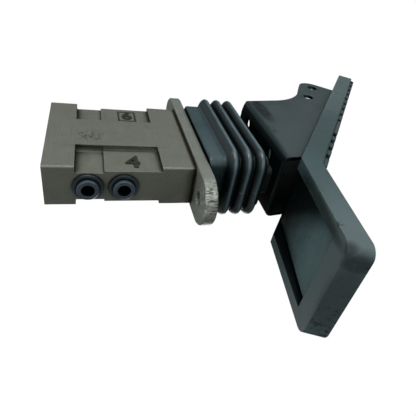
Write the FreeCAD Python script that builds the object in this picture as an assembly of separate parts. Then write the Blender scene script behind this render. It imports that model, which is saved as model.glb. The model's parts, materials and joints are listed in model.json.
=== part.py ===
import FreeCAD, Part
import math
import os

# A foot pilot valve: a cast block with two spools, bolted under a mounting flange, and a rocking
# pedal above it that pushes one plunger with the heel and the other with the toe.
# Millimetres. +Z runs up the valve, z = 0 is the underside of the flange, which is bolted down.
# +X is the heel end, -X the toe end, and the pedal rocks about a pin along Y.

# Valve housing
HOUSING_LENGTH = 98.4
HOUSING_WIDTH = 31.4
HOUSING_HEIGHT = 102.0
HOUSING_EDGE_RADIUS = 1.5
BORE_TO_END = 22.2
BORE_OFFSET = HOUSING_LENGTH / 2 - BORE_TO_END
POCKET_START = 20.0
POCKET_TOP_Z = -24.0
POCKET_STEP_Z = -63.0
POCKET_BOTTOM_Z = -82.0
POCKET_SHALLOW_DEPTH = 3.4
POCKET_DEEP_DEPTH = 5.0
POCKET_CORNER_RADIUS = 3.0

# Ports in both ends of the housing, each closed by a push-in plug
PORT_LOWER_Z = -73.7
PORT_PITCH = 23.7
PORT_RADIUS = 6.58
PORT_DEPTH = 13.0
PORT_DRILL_RADIUS = 3.5
PLUG_CLEARANCE = 0.1
PLUG_FLANGE_RADIUS = 9.9
PLUG_FLANGE_THICKNESS = 1.8
PLUG_BOSS_RADIUS = 7.4
PLUG_BOSS_HEIGHT = 3.6
PLUG_GROOVE_DEPTH = 0.7
PLUG_HOLLOW_RADIUS = 4.5
PLUG_LENGTH_IN = 10.0
PLUG_BOTTOM_THICKNESS = 2.0

# Mounting flange
FLANGE_THICKNESS = 9.0
FLANGE_HALF_WIDTH = 19.0
FLANGE_EDGE_CHAMFER = 0.8
MOUNT_HOLE_OFFSET = 63.5
MOUNT_HOLE_RADIUS = 5.5
FLANGE_HALF_LENGTH = MOUNT_HOLE_OFFSET + FLANGE_HALF_WIDTH
FLANGE_SCREW_X = BORE_OFFSET + 9.5
FLANGE_SCREW_Y = 10.8
FLANGE_SCREW_RADIUS = 2.5
FLANGE_SCREW_LENGTH = 18.0
FLANGE_SCREW_SINK = 5.5
RIM_HALF_X = HOUSING_LENGTH / 2 - 4.6
RIM_HALF_Y = FLANGE_HALF_WIDTH - 0.4
RIM_WIDTH = 3.3
RIM_GROOVE_DEPTH = 1.7
RIM_GROOVE_HEIGHT = 3.6
RIM_BEAD_HEIGHT = 2.4
RIM_CORNER_RADIUS = 5.0

# Spool line: plunger, guide bush, seals, springs and spool, one under each end of the rocker
PLUNGER_RADIUS = 6.0
RUNNING_CLEARANCE = 0.02
SEAT_CLEARANCE = 0.05
BUSH_RADIUS = 9.0
BUSH_BOTTOM_Z = -28.0
BUSH_COLLAR_RADIUS = 10.5
BUSH_COLLAR_THICKNESS = 3.0
BUSH_SEAL_Z = -22.5
SEAL_SECTION = 1.5
PLUNGER_SEAL_Z = -9.0
WIPER_RADIUS = 9.5
WIPER_DEPTH = 4.0
CHAMBER_RADIUS = 8.6
CHAMBER_BOTTOM_Z = -62.0
PLUNGER_COLLAR_RADIUS = 7.9
PLUNGER_COLLAR_TOP_Z = -34.4
PLUNGER_COLLAR_THICKNESS = 3.2
PLUNGER_HOLLOW_RADIUS = 5.0
PLUNGER_HOLLOW_TOP_Z = -24.0
SPOOL_RADIUS = 4.98
SPOOL_BORE_RADIUS = 5.0
SPOOL_BORE_BOTTOM_Z = -97.0
SPOOL_BOTTOM_Z = -92.0
SPOOL_TOP_Z = -50.0
SPOOL_WAIST_RADIUS = 3.4
SPOOL_STUB_RADIUS = 2.0
SPOOL_DRILL_RADIUS = 1.6
SEAT_RADIUS = 5.6
SEAT_THICKNESS = 2.4
SEAT_BOTTOM_Z = -57.0
RETURN_SPRING_RADIUS = 6.9
RETURN_SPRING_WIRE = 1.5
RETURN_SPRING_COILS = 4
CONTROL_SPRING_RADIUS = 4.0
CONTROL_SPRING_WIRE = 1.2
CONTROL_SPRING_COILS = 5

# Pivot of the pedal
PIVOT_Z = 28.0
PIN_RADIUS = 4.0
PIN_HALF_LENGTH = 18.0
PIN_PRESS_CLEARANCE = 0.01
EAR_INNER_Y = 10.4
EAR_THICKNESS = 5.6
EAR_RADIUS = 8.5
CIRCLIP_THICKNESS = 1.0
CIRCLIP_GROOVE_DEPTH = 0.6
CIRCLIP_RADIUS = 5.6
CIRCLIP_MOUTH = 4.6
PIVOT_BUSH_RADIUS = 5.5
PIVOT_BUSH_LENGTH = 8.0
HUB_RADIUS = 10.0
HUB_HALF_WIDTH = 10.1

# Rocker lever inside the bellows, with its two adjusting screws
ARM_HALF_WIDTH = 6.5
ARM_BOTTOM_Z = 32.5
ARM_TOP_Z = 41.0
ARM_END_RADIUS = 7.5
POST_HALF_LENGTH = 20.0
POST_HALF_WIDTH = 9.0
HEAD_HALF_X = RIM_HALF_X - 2.1
HEAD_HALF_Y = 11.0
HEAD_CORNER_RADIUS = 5.0
HEAD_BOTTOM_Z = 50.4
HEAD_GROOVE_BOTTOM_Z = 53.2
HEAD_GROOVE_TOP_Z = 56.2
HEAD_GROOVE_DEPTH = 2.4
HEAD_TOP_Z = 63.0
ADJUSTER_RADIUS = 4.0
ADJUSTER_HOLE_CLEARANCE = 0.05
ADJUSTER_GAP = 0.15
ADJUSTER_TOP_Z = 48.6
LOCK_NUT_ACROSS_FLATS = 13.0
LOCK_NUT_THICKNESS = 4.0

# Bellows between the flange and the rocker head
BELLOWS_HALF_X = RIM_HALF_X + 3.7
BELLOWS_HALF_Y = 22.3
BELLOWS_WALL = 2.2
BELLOWS_CORNER_RADIUS = 5.5
BELLOWS_RIB_HEIGHT = 5.2
BELLOWS_RIB_HALF_HEIGHT = 4.3
BELLOWS_RIB_STEPS = 2
BELLOWS_RIB_ARC = 72.0
BELLOWS_VALLEY_RISE = 1.0
BELLOWS_RIB_Z = (27.0, 37.6, 48.4)
BELLOWS_BASE_Z = 9.6
BELLOWS_SKIRT_TOP_Z = 20.5
BELLOWS_TOP_Z = 55.9
BELLOWS_TOP_HALF_X = HEAD_HALF_X + 6.5
BELLOWS_TOP_HALF_Y = 20.5
BELLOWS_LIP_THICKNESS = 2.4
BELLOWS_FIT_GAP = 0.3

# Width of the moulded cover, which sits off centre, and of the bracket that stands inside its walls
COVER_HALF_WIDTH = 39.6
COVER_CENTRE_Y = 2.0
COVER_WALL = 9.0
COVER_SIDE_GAP = 0.6
WEB_OUTER_Y = COVER_HALF_WIDTH - COVER_CENTRE_Y - COVER_WALL - COVER_SIDE_GAP

# Pedal bracket, a channel bent from sheet, and its fasteners
SHEET = 3.0
BEND_OUTER_RADIUS = 7.0
BASE_TOE_X = -43.0
BASE_HEEL_X = 52.0
WEB_HEEL_TOP_X = 49.0
LEVER_HOLE_RADIUS = 5.5
LEVER_HOLE_OUTER = (-103.0, 166.0)
LEVER_HOLE_INNER = (-74.5, 147.0)
EAR_TIP_START = (-114.6, 174.7)
EAR_TIP_MIDDLE = (-117.1, 162.6)
EAR_TIP_END = (-110.4, 153.5)
THROAT_START = (-88.0, 141.0)
THROAT_MIDDLE = (-68.5, 125.0)
THROAT_END = (-57.5, 100.0)
WEB_LOWER_CORNER = (-51.0, 69.0)
BRACKET_SCREW_X = 30.0
BRACKET_SCREW_Y = 6.5
BRACKET_SCREW_RADIUS = 3.0
BRACKET_SCREW_GRIP = 5.0
BRACKET_HOLE_DEPTH = 6.0
WASHER_RADIUS = 6.0
WASHER_THICKNESS = 1.6
BASE_HOLE_RADIUS = 5.0
BASE_HOLE_X = (-24.0, 28.0)
BASE_HOLE_Y = WEB_OUTER_Y - 10.5
CHANNEL_TOE_X = -140.0
CHANNEL_HEEL_X = 80.0
CHANNEL_TOP_Z = 210.0
HOLE_CLEARANCE = 0.3

# Socket head screws: width of the head and of its socket, as shares of the shank's radius
SCREW_HEAD_RATIO = 1.65
SCREW_SOCKET_RATIO = 1.6

# Treads: a bent steel plate on the bracket, a moulded cover over it and a studded pad on the toe side
TREAD_CORNER_X = 67.4
TREAD_CORNER_Z = 67.0
TOE_ANGLE = 36.6
HEEL_ANGLE = 9.0
TOE_LENGTH = 250.5
HEEL_LENGTH = 88.0
COVER_DEPTH = 15.0
COVER_END_WALL = 16.0
COVER_HEEL_DRAFT = 4.0
COVER_CORNER_RADIUS = 8.0
COVER_EDGE_RADIUS = 1.0
PLATE_RECESS = 2.0
PLATE_CORNER_RECESS = 7.0
PLATE_HEEL_RECESS = 2.8
PLATE_THICKNESS = 5.0
PLATE_END_GAP = 0.5

# Pad of the toe tread: rows and columns of studs, and a plain block between the two bands of rows
PAD_TOE_MARGIN = 9.6
PAD_CORNER_MARGIN = 3.0
PAD_SIDE_MARGIN = 1.6
PAD_RISE = 3.6
PAD_SINK = 1.2
PAD_SHEET_RISE = 0.2
PAD_COLUMNS = 5
PAD_GAP = 6.6
PAD_COLUMN_GAP = 5.0
LOWER_BAND_START = 20.0
LOWER_BAND_PITCH = 14.5
LOWER_BAND_GAPS = 4
UPPER_BAND_START = 99.0
UPPER_BAND_PITCH = 17.0
UPPER_BAND_GAPS = 9

# How far the tools that cut the cover's pocket and the pivot's bores reach
POCKET_DROP = 8.0
BORE_TOOL_HALF_LENGTH = 30.0

SIDES = (("heel", 1), ("toe", -1))
CORNERS = ((1, 1), (-1, 1), (-1, -1), (1, -1))


def vec(x, y, z):
    return FreeCAD.Vector(x, y, z)


def disc(radius, z_low, z_high, x=0.0, y=0.0):
    """A cylinder along Z between two heights."""
    return Part.makeCylinder(radius, z_high - z_low, vec(x, y, z_low), vec(0, 0, 1))


def bar_y(radius, y_low, y_high, x, z):
    """A cylinder along Y."""
    return Part.makeCylinder(radius, y_high - y_low, vec(x, y_low, z), vec(0, 1, 0))


def bar_x(radius, x_start, length, z, way):
    """A cylinder along X that starts at x_start and runs the way given, +1 or -1."""
    return Part.makeCylinder(radius, length, vec(x_start, 0, z), vec(way, 0, 0))


def block(x_low, x_high, y_low, y_high, z_low, z_high):
    return Part.makeBox(x_high - x_low, y_high - y_low, z_high - z_low, vec(x_low, y_low, z_low))


def round_rect_wire(half_x, half_y, radius, z):
    """A rectangle with round corners, centred on the valve's axis."""
    edges = []
    diagonal = radius * (1 - math.sqrt(0.5))
    starts = []
    for sign_x, sign_y in CORNERS:
        on_x_side = vec(sign_x * half_x, sign_y * (half_y - radius), z)
        on_y_side = vec(sign_x * (half_x - radius), sign_y * half_y, z)
        middle = vec(sign_x * (half_x - diagonal), sign_y * (half_y - diagonal), z)
        if sign_x * sign_y > 0:
            starts.append((on_x_side, middle, on_y_side))
        else:
            starts.append((on_y_side, middle, on_x_side))
    for index, (first, middle, last) in enumerate(starts):
        edges.append(Part.Arc(first, middle, last).toShape())
        following = starts[(index + 1) % len(starts)][0]
        edges.append(Part.makeLine(last, following))
    return Part.Wire(edges)


def round_rect(half_x, half_y, radius, z_low, z_high):
    face = Part.Face(round_rect_wire(half_x, half_y, radius, z_low))
    return face.extrude(vec(0, 0, z_high - z_low))


def obround(half_length, half_width, z_low, z_high):
    """A plate with two straight sides and fully round ends."""
    straight = half_length - half_width
    middle = block(-straight, straight, -half_width, half_width, z_low, z_high)
    ends = [disc(half_width, z_low, z_high, way * straight) for way in (1, -1)]
    return middle.multiFuse(ends).removeSplitter()


def side_prism(wire_points, y_low, y_high):
    """A polygon of (x, z) points in the side view, stretched along Y."""
    points = [vec(x, y_low, z) for x, z in wire_points]
    face = Part.Face(Part.makePolygon(points + points[:1]))
    return face.extrude(vec(0, y_high - y_low, 0))


def turned(profile, x=0.0):
    """A profile of (radius, z) points turned about the vertical line at x."""
    points = [vec(x + radius, 0, z) for radius, z in profile]
    face = Part.Face(Part.makePolygon(points + points[:1]))
    return face.revolve(vec(x, 0, 0), vec(0, 0, 1), 360)


def hexagon(across_flats, z_low, z_high, x, y):
    corner = across_flats / math.sqrt(3)
    points = []
    for index in range(6):
        angle = math.radians(60 * index)
        points.append(vec(x + corner * math.cos(angle), y + corner * math.sin(angle), z_low))
    face = Part.Face(Part.makePolygon(points + points[:1]))
    return face.extrude(vec(0, 0, z_high - z_low))


def socket_screw(x, y, seat_z, radius, length):
    """A socket head cap screw whose head stands on seat_z and whose shank points down."""
    head_height = 2 * radius
    head = disc(SCREW_HEAD_RATIO * radius, seat_z, seat_z + head_height, x, y)
    socket = hexagon(SCREW_SOCKET_RATIO * radius, seat_z + radius, seat_z + head_height + 1, x, y)
    shank = disc(radius, seat_z - length, seat_z, x, y)
    return head.fuse(shank).cut(socket)


def coil(radius, wire, turns, z_low, z_high, x):
    """A helical spring of square wire between two heights."""
    reach = z_high - z_low - wire
    helix = Part.makeHelix(reach / turns, reach, radius)
    half = wire / 2
    corners = [vec(radius + side * half, 0, rise * half) for side, rise in CORNERS]
    section = Part.makePolygon(corners + corners[:1])
    spring = Part.Wire(helix.Edges).makePipeShell([section], True, True)
    spring.translate(vec(x, 0, z_low + half))
    return spring


def housing():
    """The cast block, with its stepped side pockets, spool bores and ports."""
    half_x = HOUSING_LENGTH / 2
    half_y = HOUSING_WIDTH / 2
    body = round_rect(half_x, half_y, HOUSING_EDGE_RADIUS, -HOUSING_HEIGHT, 0)
    cuts = []
    steps = (
        (POCKET_STEP_Z, POCKET_TOP_Z, POCKET_SHALLOW_DEPTH),
        (POCKET_BOTTOM_Z, POCKET_STEP_Z, POCKET_DEEP_DEPTH),
    )
    for way_x in (1, -1):
        for way_y in (1, -1):
            for z_low, z_high, depth in steps:
                inner = way_x * POCKET_START
                outer = way_x * (half_x + POCKET_CORNER_RADIUS + 1)
                floor = way_y * (half_y - depth)
                beyond = way_y * (half_y + 2 * POCKET_CORNER_RADIUS)
                pocket = block(
                    min(inner, outer), max(inner, outer),
                    min(floor, beyond), max(floor, beyond), z_low, z_high,
                )
                rounded = [
                    edge for edge in pocket.Edges
                    if abs(edge.CenterOfMass.x - inner) < 0.01
                    and abs(edge.CenterOfMass.z - (z_low + z_high) / 2) < 0.01
                    and abs(edge.CenterOfMass.y - floor) < 0.01
                ]
                cuts.append(pocket.makeFillet(POCKET_CORNER_RADIUS, rounded))
    for way in (1, -1):
        x = way * BORE_OFFSET
        cuts.append(disc(BUSH_COLLAR_RADIUS + SEAT_CLEARANCE, -BUSH_COLLAR_THICKNESS, 1, x))
        cuts.append(disc(BUSH_RADIUS + SEAT_CLEARANCE, BUSH_BOTTOM_Z - 4, 0, x))
        cuts.append(disc(CHAMBER_RADIUS, CHAMBER_BOTTOM_Z, 0, x))
        cuts.append(disc(SPOOL_BORE_RADIUS, SPOOL_BORE_BOTTOM_Z, 0, x))
        for port_z in (PORT_LOWER_Z, PORT_LOWER_Z + PORT_PITCH):
            cuts.append(bar_x(PORT_RADIUS, way * half_x, PORT_DEPTH, port_z, -way))
            reach = half_x - BORE_OFFSET
            cuts.append(bar_x(PORT_DRILL_RADIUS, way * half_x, reach, port_z, -way))
        for way_y in (1, -1):
            y = way_y * FLANGE_SCREW_Y
            depth = FLANGE_THICKNESS - FLANGE_SCREW_SINK - FLANGE_SCREW_LENGTH - 2
            cuts.append(disc(FLANGE_SCREW_RADIUS + SEAT_CLEARANCE, depth, 1, way * FLANGE_SCREW_X, y))
    return body.cut(cuts)


def port_plug(way, port_z):
    """A hollow push-in plug with a grooved boss, in one port."""
    face_x = way * HOUSING_LENGTH / 2
    stem_radius = PORT_RADIUS - PLUG_CLEARANCE
    boss_end = PLUG_FLANGE_THICKNESS + PLUG_BOSS_HEIGHT
    groove_radius = PLUG_BOSS_RADIUS - PLUG_GROOVE_DEPTH
    third = PLUG_BOSS_HEIGHT / 3
    profile = [
        (0, -PLUG_LENGTH_IN), (stem_radius - 1, -PLUG_LENGTH_IN), (stem_radius, 1 - PLUG_LENGTH_IN),
        (stem_radius, 0), (PLUG_FLANGE_RADIUS, 0), (PLUG_FLANGE_RADIUS, PLUG_FLANGE_THICKNESS),
        (groove_radius, PLUG_FLANGE_THICKNESS), (groove_radius, PLUG_FLANGE_THICKNESS + third),
        (PLUG_BOSS_RADIUS, PLUG_FLANGE_THICKNESS + third), (PLUG_BOSS_RADIUS, boss_end - 0.5),
        (PLUG_BOSS_RADIUS - 0.5, boss_end), (PLUG_HOLLOW_RADIUS, boss_end),
        (PLUG_HOLLOW_RADIUS - 0.4, PLUG_BOTTOM_THICKNESS - PLUG_LENGTH_IN),
        (0, PLUG_BOTTOM_THICKNESS - PLUG_LENGTH_IN),
    ]
    plug = turned(profile)
    plug.rotate(vec(0, 0, 0), vec(0, 1, 0), 90 * way)
    plug.translate(vec(face_x, 0, port_z))
    return plug


def mounting_flange():
    """The plate that is bolted down, with the rim that holds the bellows and the pivot ears."""
    top = FLANGE_THICKNESS
    plate = obround(FLANGE_HALF_LENGTH, FLANGE_HALF_WIDTH, 0, top)
    outline = [edge for edge in plate.Edges if edge.BoundBox.ZLength < 0.01]
    plate = plate.makeChamfer(FLANGE_EDGE_CHAMFER, outline)
    bead_low = top + RIM_GROOVE_HEIGHT
    bead_top = bead_low + RIM_BEAD_HEIGHT
    waist_x = RIM_HALF_X - RIM_GROOVE_DEPTH
    waist_y = RIM_HALF_Y - RIM_GROOVE_DEPTH
    waist = round_rect(waist_x, waist_y, RIM_CORNER_RADIUS - 1, top - 1, bead_top)
    bead = round_rect(RIM_HALF_X, RIM_HALF_Y, RIM_CORNER_RADIUS, bead_low, bead_top)
    inside = round_rect(
        RIM_HALF_X - RIM_WIDTH, RIM_HALF_Y - RIM_WIDTH, RIM_CORNER_RADIUS - 2, top, bead_top + 1,
    )
    rim = waist.fuse(bead).cut(inside)
    ears = []
    for way in (1, -1):
        low = min(way * EAR_INNER_Y, way * (EAR_INNER_Y + EAR_THICKNESS))
        high = low + EAR_THICKNESS
        ears.append(bar_y(EAR_RADIUS, low, high, 0, PIVOT_Z))
        ears.append(block(-EAR_RADIUS, EAR_RADIUS, low, high, top - 1, PIVOT_Z))
    flange = plate.multiFuse([rim] + ears)
    reach = BORE_TOOL_HALF_LENGTH
    cuts = [bar_y(PIN_RADIUS + PIN_PRESS_CLEARANCE, -reach, reach, 0, PIVOT_Z)]
    for way in (1, -1):
        cuts.append(disc(MOUNT_HOLE_RADIUS, -1, top + 1, way * MOUNT_HOLE_OFFSET))
        x = way * BORE_OFFSET
        cuts.append(disc(PLUNGER_RADIUS + 0.5, -1, top + 1, x))
        cuts.append(disc(WIPER_RADIUS + SEAT_CLEARANCE, top - WIPER_DEPTH, top + 1, x))
        for way_y in (1, -1):
            y = way_y * FLANGE_SCREW_Y
            screw_x = way * FLANGE_SCREW_X
            cuts.append(disc(FLANGE_SCREW_RADIUS + HOLE_CLEARANCE, -1, top, screw_x, y))
            head_hole = SCREW_HEAD_RATIO * FLANGE_SCREW_RADIUS + HOLE_CLEARANCE
            cuts.append(disc(head_hole, top - FLANGE_SCREW_SINK, top + 1, screw_x, y))
    return flange.cut(cuts)


def flange_screws():
    """Four socket screws, sunk in the flange, that hold the housing under it."""
    seat = FLANGE_THICKNESS - FLANGE_SCREW_SINK
    screws = []
    for sign_x, sign_y in CORNERS:
        x = sign_x * FLANGE_SCREW_X
        y = sign_y * FLANGE_SCREW_Y
        screws.append(socket_screw(x, y, seat, FLANGE_SCREW_RADIUS, FLANGE_SCREW_LENGTH))
    return Part.makeCompound(screws)


def guide_bush(x):
    """The bush that guides a plunger, with one groove outside and one inside for its seals."""
    bore = PLUNGER_RADIUS + RUNNING_CLEARANCE
    half = SEAL_SECTION / 2 + 0.3
    outer_groove = BUSH_RADIUS - SEAL_SECTION
    inner_groove = PLUNGER_RADIUS + SEAL_SECTION
    profile = [
        (bore, BUSH_BOTTOM_Z), (BUSH_RADIUS, BUSH_BOTTOM_Z), (BUSH_RADIUS, BUSH_SEAL_Z - half),
        (outer_groove, BUSH_SEAL_Z - half), (outer_groove, BUSH_SEAL_Z + half),
        (BUSH_RADIUS, BUSH_SEAL_Z + half), (BUSH_RADIUS, -BUSH_COLLAR_THICKNESS),
        (BUSH_COLLAR_RADIUS, -BUSH_COLLAR_THICKNESS), (BUSH_COLLAR_RADIUS, 0), (bore, 0),
        (bore, PLUNGER_SEAL_Z + half), (inner_groove, PLUNGER_SEAL_Z + half),
        (inner_groove, PLUNGER_SEAL_Z - half), (bore, PLUNGER_SEAL_Z - half),
    ]
    return turned(profile, x)


def ring_seal(inner_radius, x, z):
    """A ring with an eight-sided section that fills a groove from inner_radius outwards."""
    centre = inner_radius + SEAL_SECTION / 2
    reach = (SEAL_SECTION / 2 - RUNNING_CLEARANCE) / math.cos(math.radians(22.5))
    profile = []
    for index in range(8):
        angle = math.radians(22.5 + 45 * index)
        profile.append((centre + reach * math.cos(angle), z + reach * math.sin(angle)))
    return turned(profile, x)


def wiper_seal(x):
    """The lip ring in the top of the flange that keeps dirt off a plunger."""
    low = FLANGE_THICKNESS - WIPER_DEPTH
    inner = PLUNGER_RADIUS + SEAT_CLEARANCE
    profile = [
        (inner + 0.8, low), (WIPER_RADIUS, low), (WIPER_RADIUS, FLANGE_THICKNESS),
        (inner + 1.4, FLANGE_THICKNESS), (inner, FLANGE_THICKNESS + 1.2), (inner, FLANGE_THICKNESS - 0.6),
        (inner + 0.8, FLANGE_THICKNESS - 1.6),
    ]
    return turned(profile, x)


def plunger(x):
    """A push rod with a flat top and a collar below its bush, hollow for the control spring."""
    top = PIVOT_Z - ADJUSTER_GAP
    collar_low = PLUNGER_COLLAR_TOP_Z - PLUNGER_COLLAR_THICKNESS
    profile = [
        (0, PLUNGER_HOLLOW_TOP_Z), (PLUNGER_HOLLOW_RADIUS, PLUNGER_HOLLOW_TOP_Z),
        (PLUNGER_HOLLOW_RADIUS, collar_low), (PLUNGER_COLLAR_RADIUS, collar_low),
        (PLUNGER_COLLAR_RADIUS, PLUNGER_COLLAR_TOP_Z), (PLUNGER_RADIUS, PLUNGER_COLLAR_TOP_Z),
        (PLUNGER_RADIUS, top - 1), (PLUNGER_RADIUS - 1, top), (0, top),
    ]
    return turned(profile, x)


def spool(x):
    """The metering spool: three lands, two waists, a stub for the spring seat and a centre drilling."""
    length = SEAT_BOTTOM_Z - SPOOL_BOTTOM_Z
    land = 0.22 * length
    waist = 0.17 * length
    profile = [(SPOOL_DRILL_RADIUS, SPOOL_BOTTOM_Z), (SPOOL_RADIUS, SPOOL_BOTTOM_Z)]
    z = SPOOL_BOTTOM_Z
    for _ in range(2):
        z += land
        profile.append((SPOOL_RADIUS, z))
        profile.append((SPOOL_WAIST_RADIUS, z))
        z += waist
        profile.append((SPOOL_WAIST_RADIUS, z))
        profile.append((SPOOL_RADIUS, z))
    drill_top = SEAT_BOTTOM_Z - 0.5 * land
    profile += [
        (SPOOL_RADIUS, SEAT_BOTTOM_Z), (SPOOL_STUB_RADIUS, SEAT_BOTTOM_Z),
        (SPOOL_STUB_RADIUS, SPOOL_TOP_Z), (0, SPOOL_TOP_Z), (0, drill_top), (SPOOL_DRILL_RADIUS, drill_top),
    ]
    cross_z = SPOOL_BOTTOM_Z + land + waist / 2
    cross_drill = bar_y(SPOOL_DRILL_RADIUS / 2, -SPOOL_RADIUS, SPOOL_RADIUS, x, cross_z)
    return turned(profile, x).cut(cross_drill)


def spring_seat(x):
    """The stepped washer on the spool's stub that the control spring stands on."""
    bore = SPOOL_STUB_RADIUS + SEAT_CLEARANCE
    step_radius = CONTROL_SPRING_RADIUS - CONTROL_SPRING_WIRE / 2 - SEAT_CLEARANCE
    profile = [
        (bore, SEAT_BOTTOM_Z), (SEAT_RADIUS, SEAT_BOTTOM_Z), (SEAT_RADIUS, SEAT_BOTTOM_Z + SEAT_THICKNESS),
        (step_radius, SEAT_BOTTOM_Z + SEAT_THICKNESS), (step_radius, SEAT_BOTTOM_Z + 1.8 * SEAT_THICKNESS),
        (bore, SEAT_BOTTOM_Z + 1.8 * SEAT_THICKNESS),
    ]
    return turned(profile, x)


def return_spring(x):
    low = CHAMBER_BOTTOM_Z + SEAT_CLEARANCE
    high = PLUNGER_COLLAR_TOP_Z - PLUNGER_COLLAR_THICKNESS - SEAT_CLEARANCE
    return coil(RETURN_SPRING_RADIUS, RETURN_SPRING_WIRE, RETURN_SPRING_COILS, low, high, x)


def control_spring(x):
    low = SEAT_BOTTOM_Z + SEAT_THICKNESS + SEAT_CLEARANCE
    high = PLUNGER_HOLLOW_TOP_Z - SEAT_CLEARANCE
    return coil(CONTROL_SPRING_RADIUS, CONTROL_SPRING_WIRE, CONTROL_SPRING_COILS, low, high, x)


def pivot_pin():
    """The pin through the ears and the rocker, grooved at both ends for its rings."""
    pin = bar_y(PIN_RADIUS, -PIN_HALF_LENGTH, PIN_HALF_LENGTH, 0, PIVOT_Z)
    ear_face = EAR_INNER_Y + EAR_THICKNESS
    cuts = []
    for way in (1, -1):
        low = min(way * ear_face, way * (ear_face + CIRCLIP_THICKNESS + 0.1))
        high = low + CIRCLIP_THICKNESS + 0.1
        sleeve = bar_y(PIN_RADIUS + 1, low, high, 0, PIVOT_Z)
        core = bar_y(PIN_RADIUS - CIRCLIP_GROOVE_DEPTH, low, high, 0, PIVOT_Z)
        cuts.append(sleeve.cut(core))
    return pin.cut(cuts)


def pivot_circlips():
    """Two open rings that keep the pin in its ears."""
    rings = []
    ear_face = EAR_INNER_Y + EAR_THICKNESS
    inner = PIN_RADIUS - CIRCLIP_GROOVE_DEPTH + 0.02
    for way in (1, -1):
        near = way * (ear_face + SEAT_CLEARANCE)
        far = way * (ear_face + CIRCLIP_THICKNESS)
        low, high = min(near, far), max(near, far)
        ring = bar_y(CIRCLIP_RADIUS, low, high, 0, PIVOT_Z)
        hole = bar_y(inner, low - 1, high + 1, 0, PIVOT_Z)
        half = CIRCLIP_MOUTH / 2
        mouth = block(-half, half, low - 1, high + 1, PIVOT_Z, PIVOT_Z + CIRCLIP_RADIUS + 1)
        rings.append(ring.cut([hole, mouth]))
    return Part.makeCompound(rings)


def pivot_bushes():
    """Two plain sleeves pressed in the rocker's hub, running on the pin."""
    sleeves = []
    for way in (1, -1):
        outer_end = way * (HUB_HALF_WIDTH + 0.15)
        inner_end = way * (HUB_HALF_WIDTH - PIVOT_BUSH_LENGTH)
        low, high = min(outer_end, inner_end), max(outer_end, inner_end)
        sleeve = bar_y(PIVOT_BUSH_RADIUS - PIN_PRESS_CLEARANCE, low, high, 0, PIVOT_Z)
        bore = bar_y(PIN_RADIUS + RUNNING_CLEARANCE, low - 1, high + 1, 0, PIVOT_Z)
        sleeves.append(sleeve.cut(bore))
    return Part.makeCompound(sleeves)


def rocker_lever():
    """The cast lever inside the bellows: hub, two arms over the plungers, post and screwed head."""
    hub = bar_y(HUB_RADIUS, -HUB_HALF_WIDTH, HUB_HALF_WIDTH, 0, PIVOT_Z)
    arms = block(-BORE_OFFSET, BORE_OFFSET, -ARM_HALF_WIDTH, ARM_HALF_WIDTH, ARM_BOTTOM_Z, ARM_TOP_Z)
    pieces = [arms]
    for way in (1, -1):
        pieces.append(disc(ARM_END_RADIUS, ARM_BOTTOM_Z, ARM_TOP_Z, way * BORE_OFFSET))
    foot = [
        (-HUB_RADIUS, PIVOT_Z), (HUB_RADIUS, PIVOT_Z), (POST_HALF_LENGTH * 0.7, ARM_TOP_Z),
        (POST_HALF_LENGTH, HEAD_BOTTOM_Z + 1), (-POST_HALF_LENGTH, HEAD_BOTTOM_Z + 1),
        (-POST_HALF_LENGTH * 0.7, ARM_TOP_Z),
    ]
    pieces.append(side_prism(foot, -POST_HALF_WIDTH, POST_HALF_WIDTH))
    lower_head = round_rect(
        HEAD_HALF_X, HEAD_HALF_Y, HEAD_CORNER_RADIUS, HEAD_BOTTOM_Z, HEAD_GROOVE_BOTTOM_Z,
    )
    waist = round_rect(
        HEAD_HALF_X - HEAD_GROOVE_DEPTH, HEAD_HALF_Y - HEAD_GROOVE_DEPTH, HEAD_CORNER_RADIUS - 2,
        HEAD_GROOVE_BOTTOM_Z, HEAD_GROOVE_TOP_Z,
    )
    upper_head = round_rect(
        HEAD_HALF_X + 1, HEAD_HALF_Y + 1, HEAD_CORNER_RADIUS, HEAD_GROOVE_TOP_Z, HEAD_TOP_Z,
    )
    pieces += [lower_head, waist, upper_head]
    lever = hub.multiFuse(pieces)
    reach = BORE_TOOL_HALF_LENGTH
    cuts = [bar_y(PIVOT_BUSH_RADIUS, -reach, reach, 0, PIVOT_Z)]
    for way in (1, -1):
        hole = ADJUSTER_RADIUS + ADJUSTER_HOLE_CLEARANCE
        cuts.append(disc(hole, ARM_BOTTOM_Z - 1, ARM_TOP_Z + 1, way * BORE_OFFSET))
    for sign_x, sign_y in CORNERS:
        x = sign_x * BRACKET_SCREW_X
        y = sign_y * BRACKET_SCREW_Y
        low = HEAD_TOP_Z - BRACKET_HOLE_DEPTH
        cuts.append(disc(BRACKET_SCREW_RADIUS + SEAT_CLEARANCE, low, HEAD_TOP_Z + 1, x, y))
    return lever.cut(cuts).removeSplitter()


def adjusting_screws():
    """Two set screws with round tips that meet the plungers, with a hexagon on top to turn them."""
    screws = []
    for way in (1, -1):
        x = way * BORE_OFFSET
        tip_centre = PIVOT_Z + ADJUSTER_RADIUS
        tip = Part.makeSphere(ADJUSTER_RADIUS, vec(x, 0, tip_centre))
        shank = disc(ADJUSTER_RADIUS, tip_centre, ADJUSTER_TOP_Z - 3, x)
        head = hexagon(1.5 * ADJUSTER_RADIUS, ADJUSTER_TOP_Z - 3, ADJUSTER_TOP_Z, x, 0)
        screws.append(tip.multiFuse([shank, head]).removeSplitter())
    return Part.makeCompound(screws)


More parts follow.
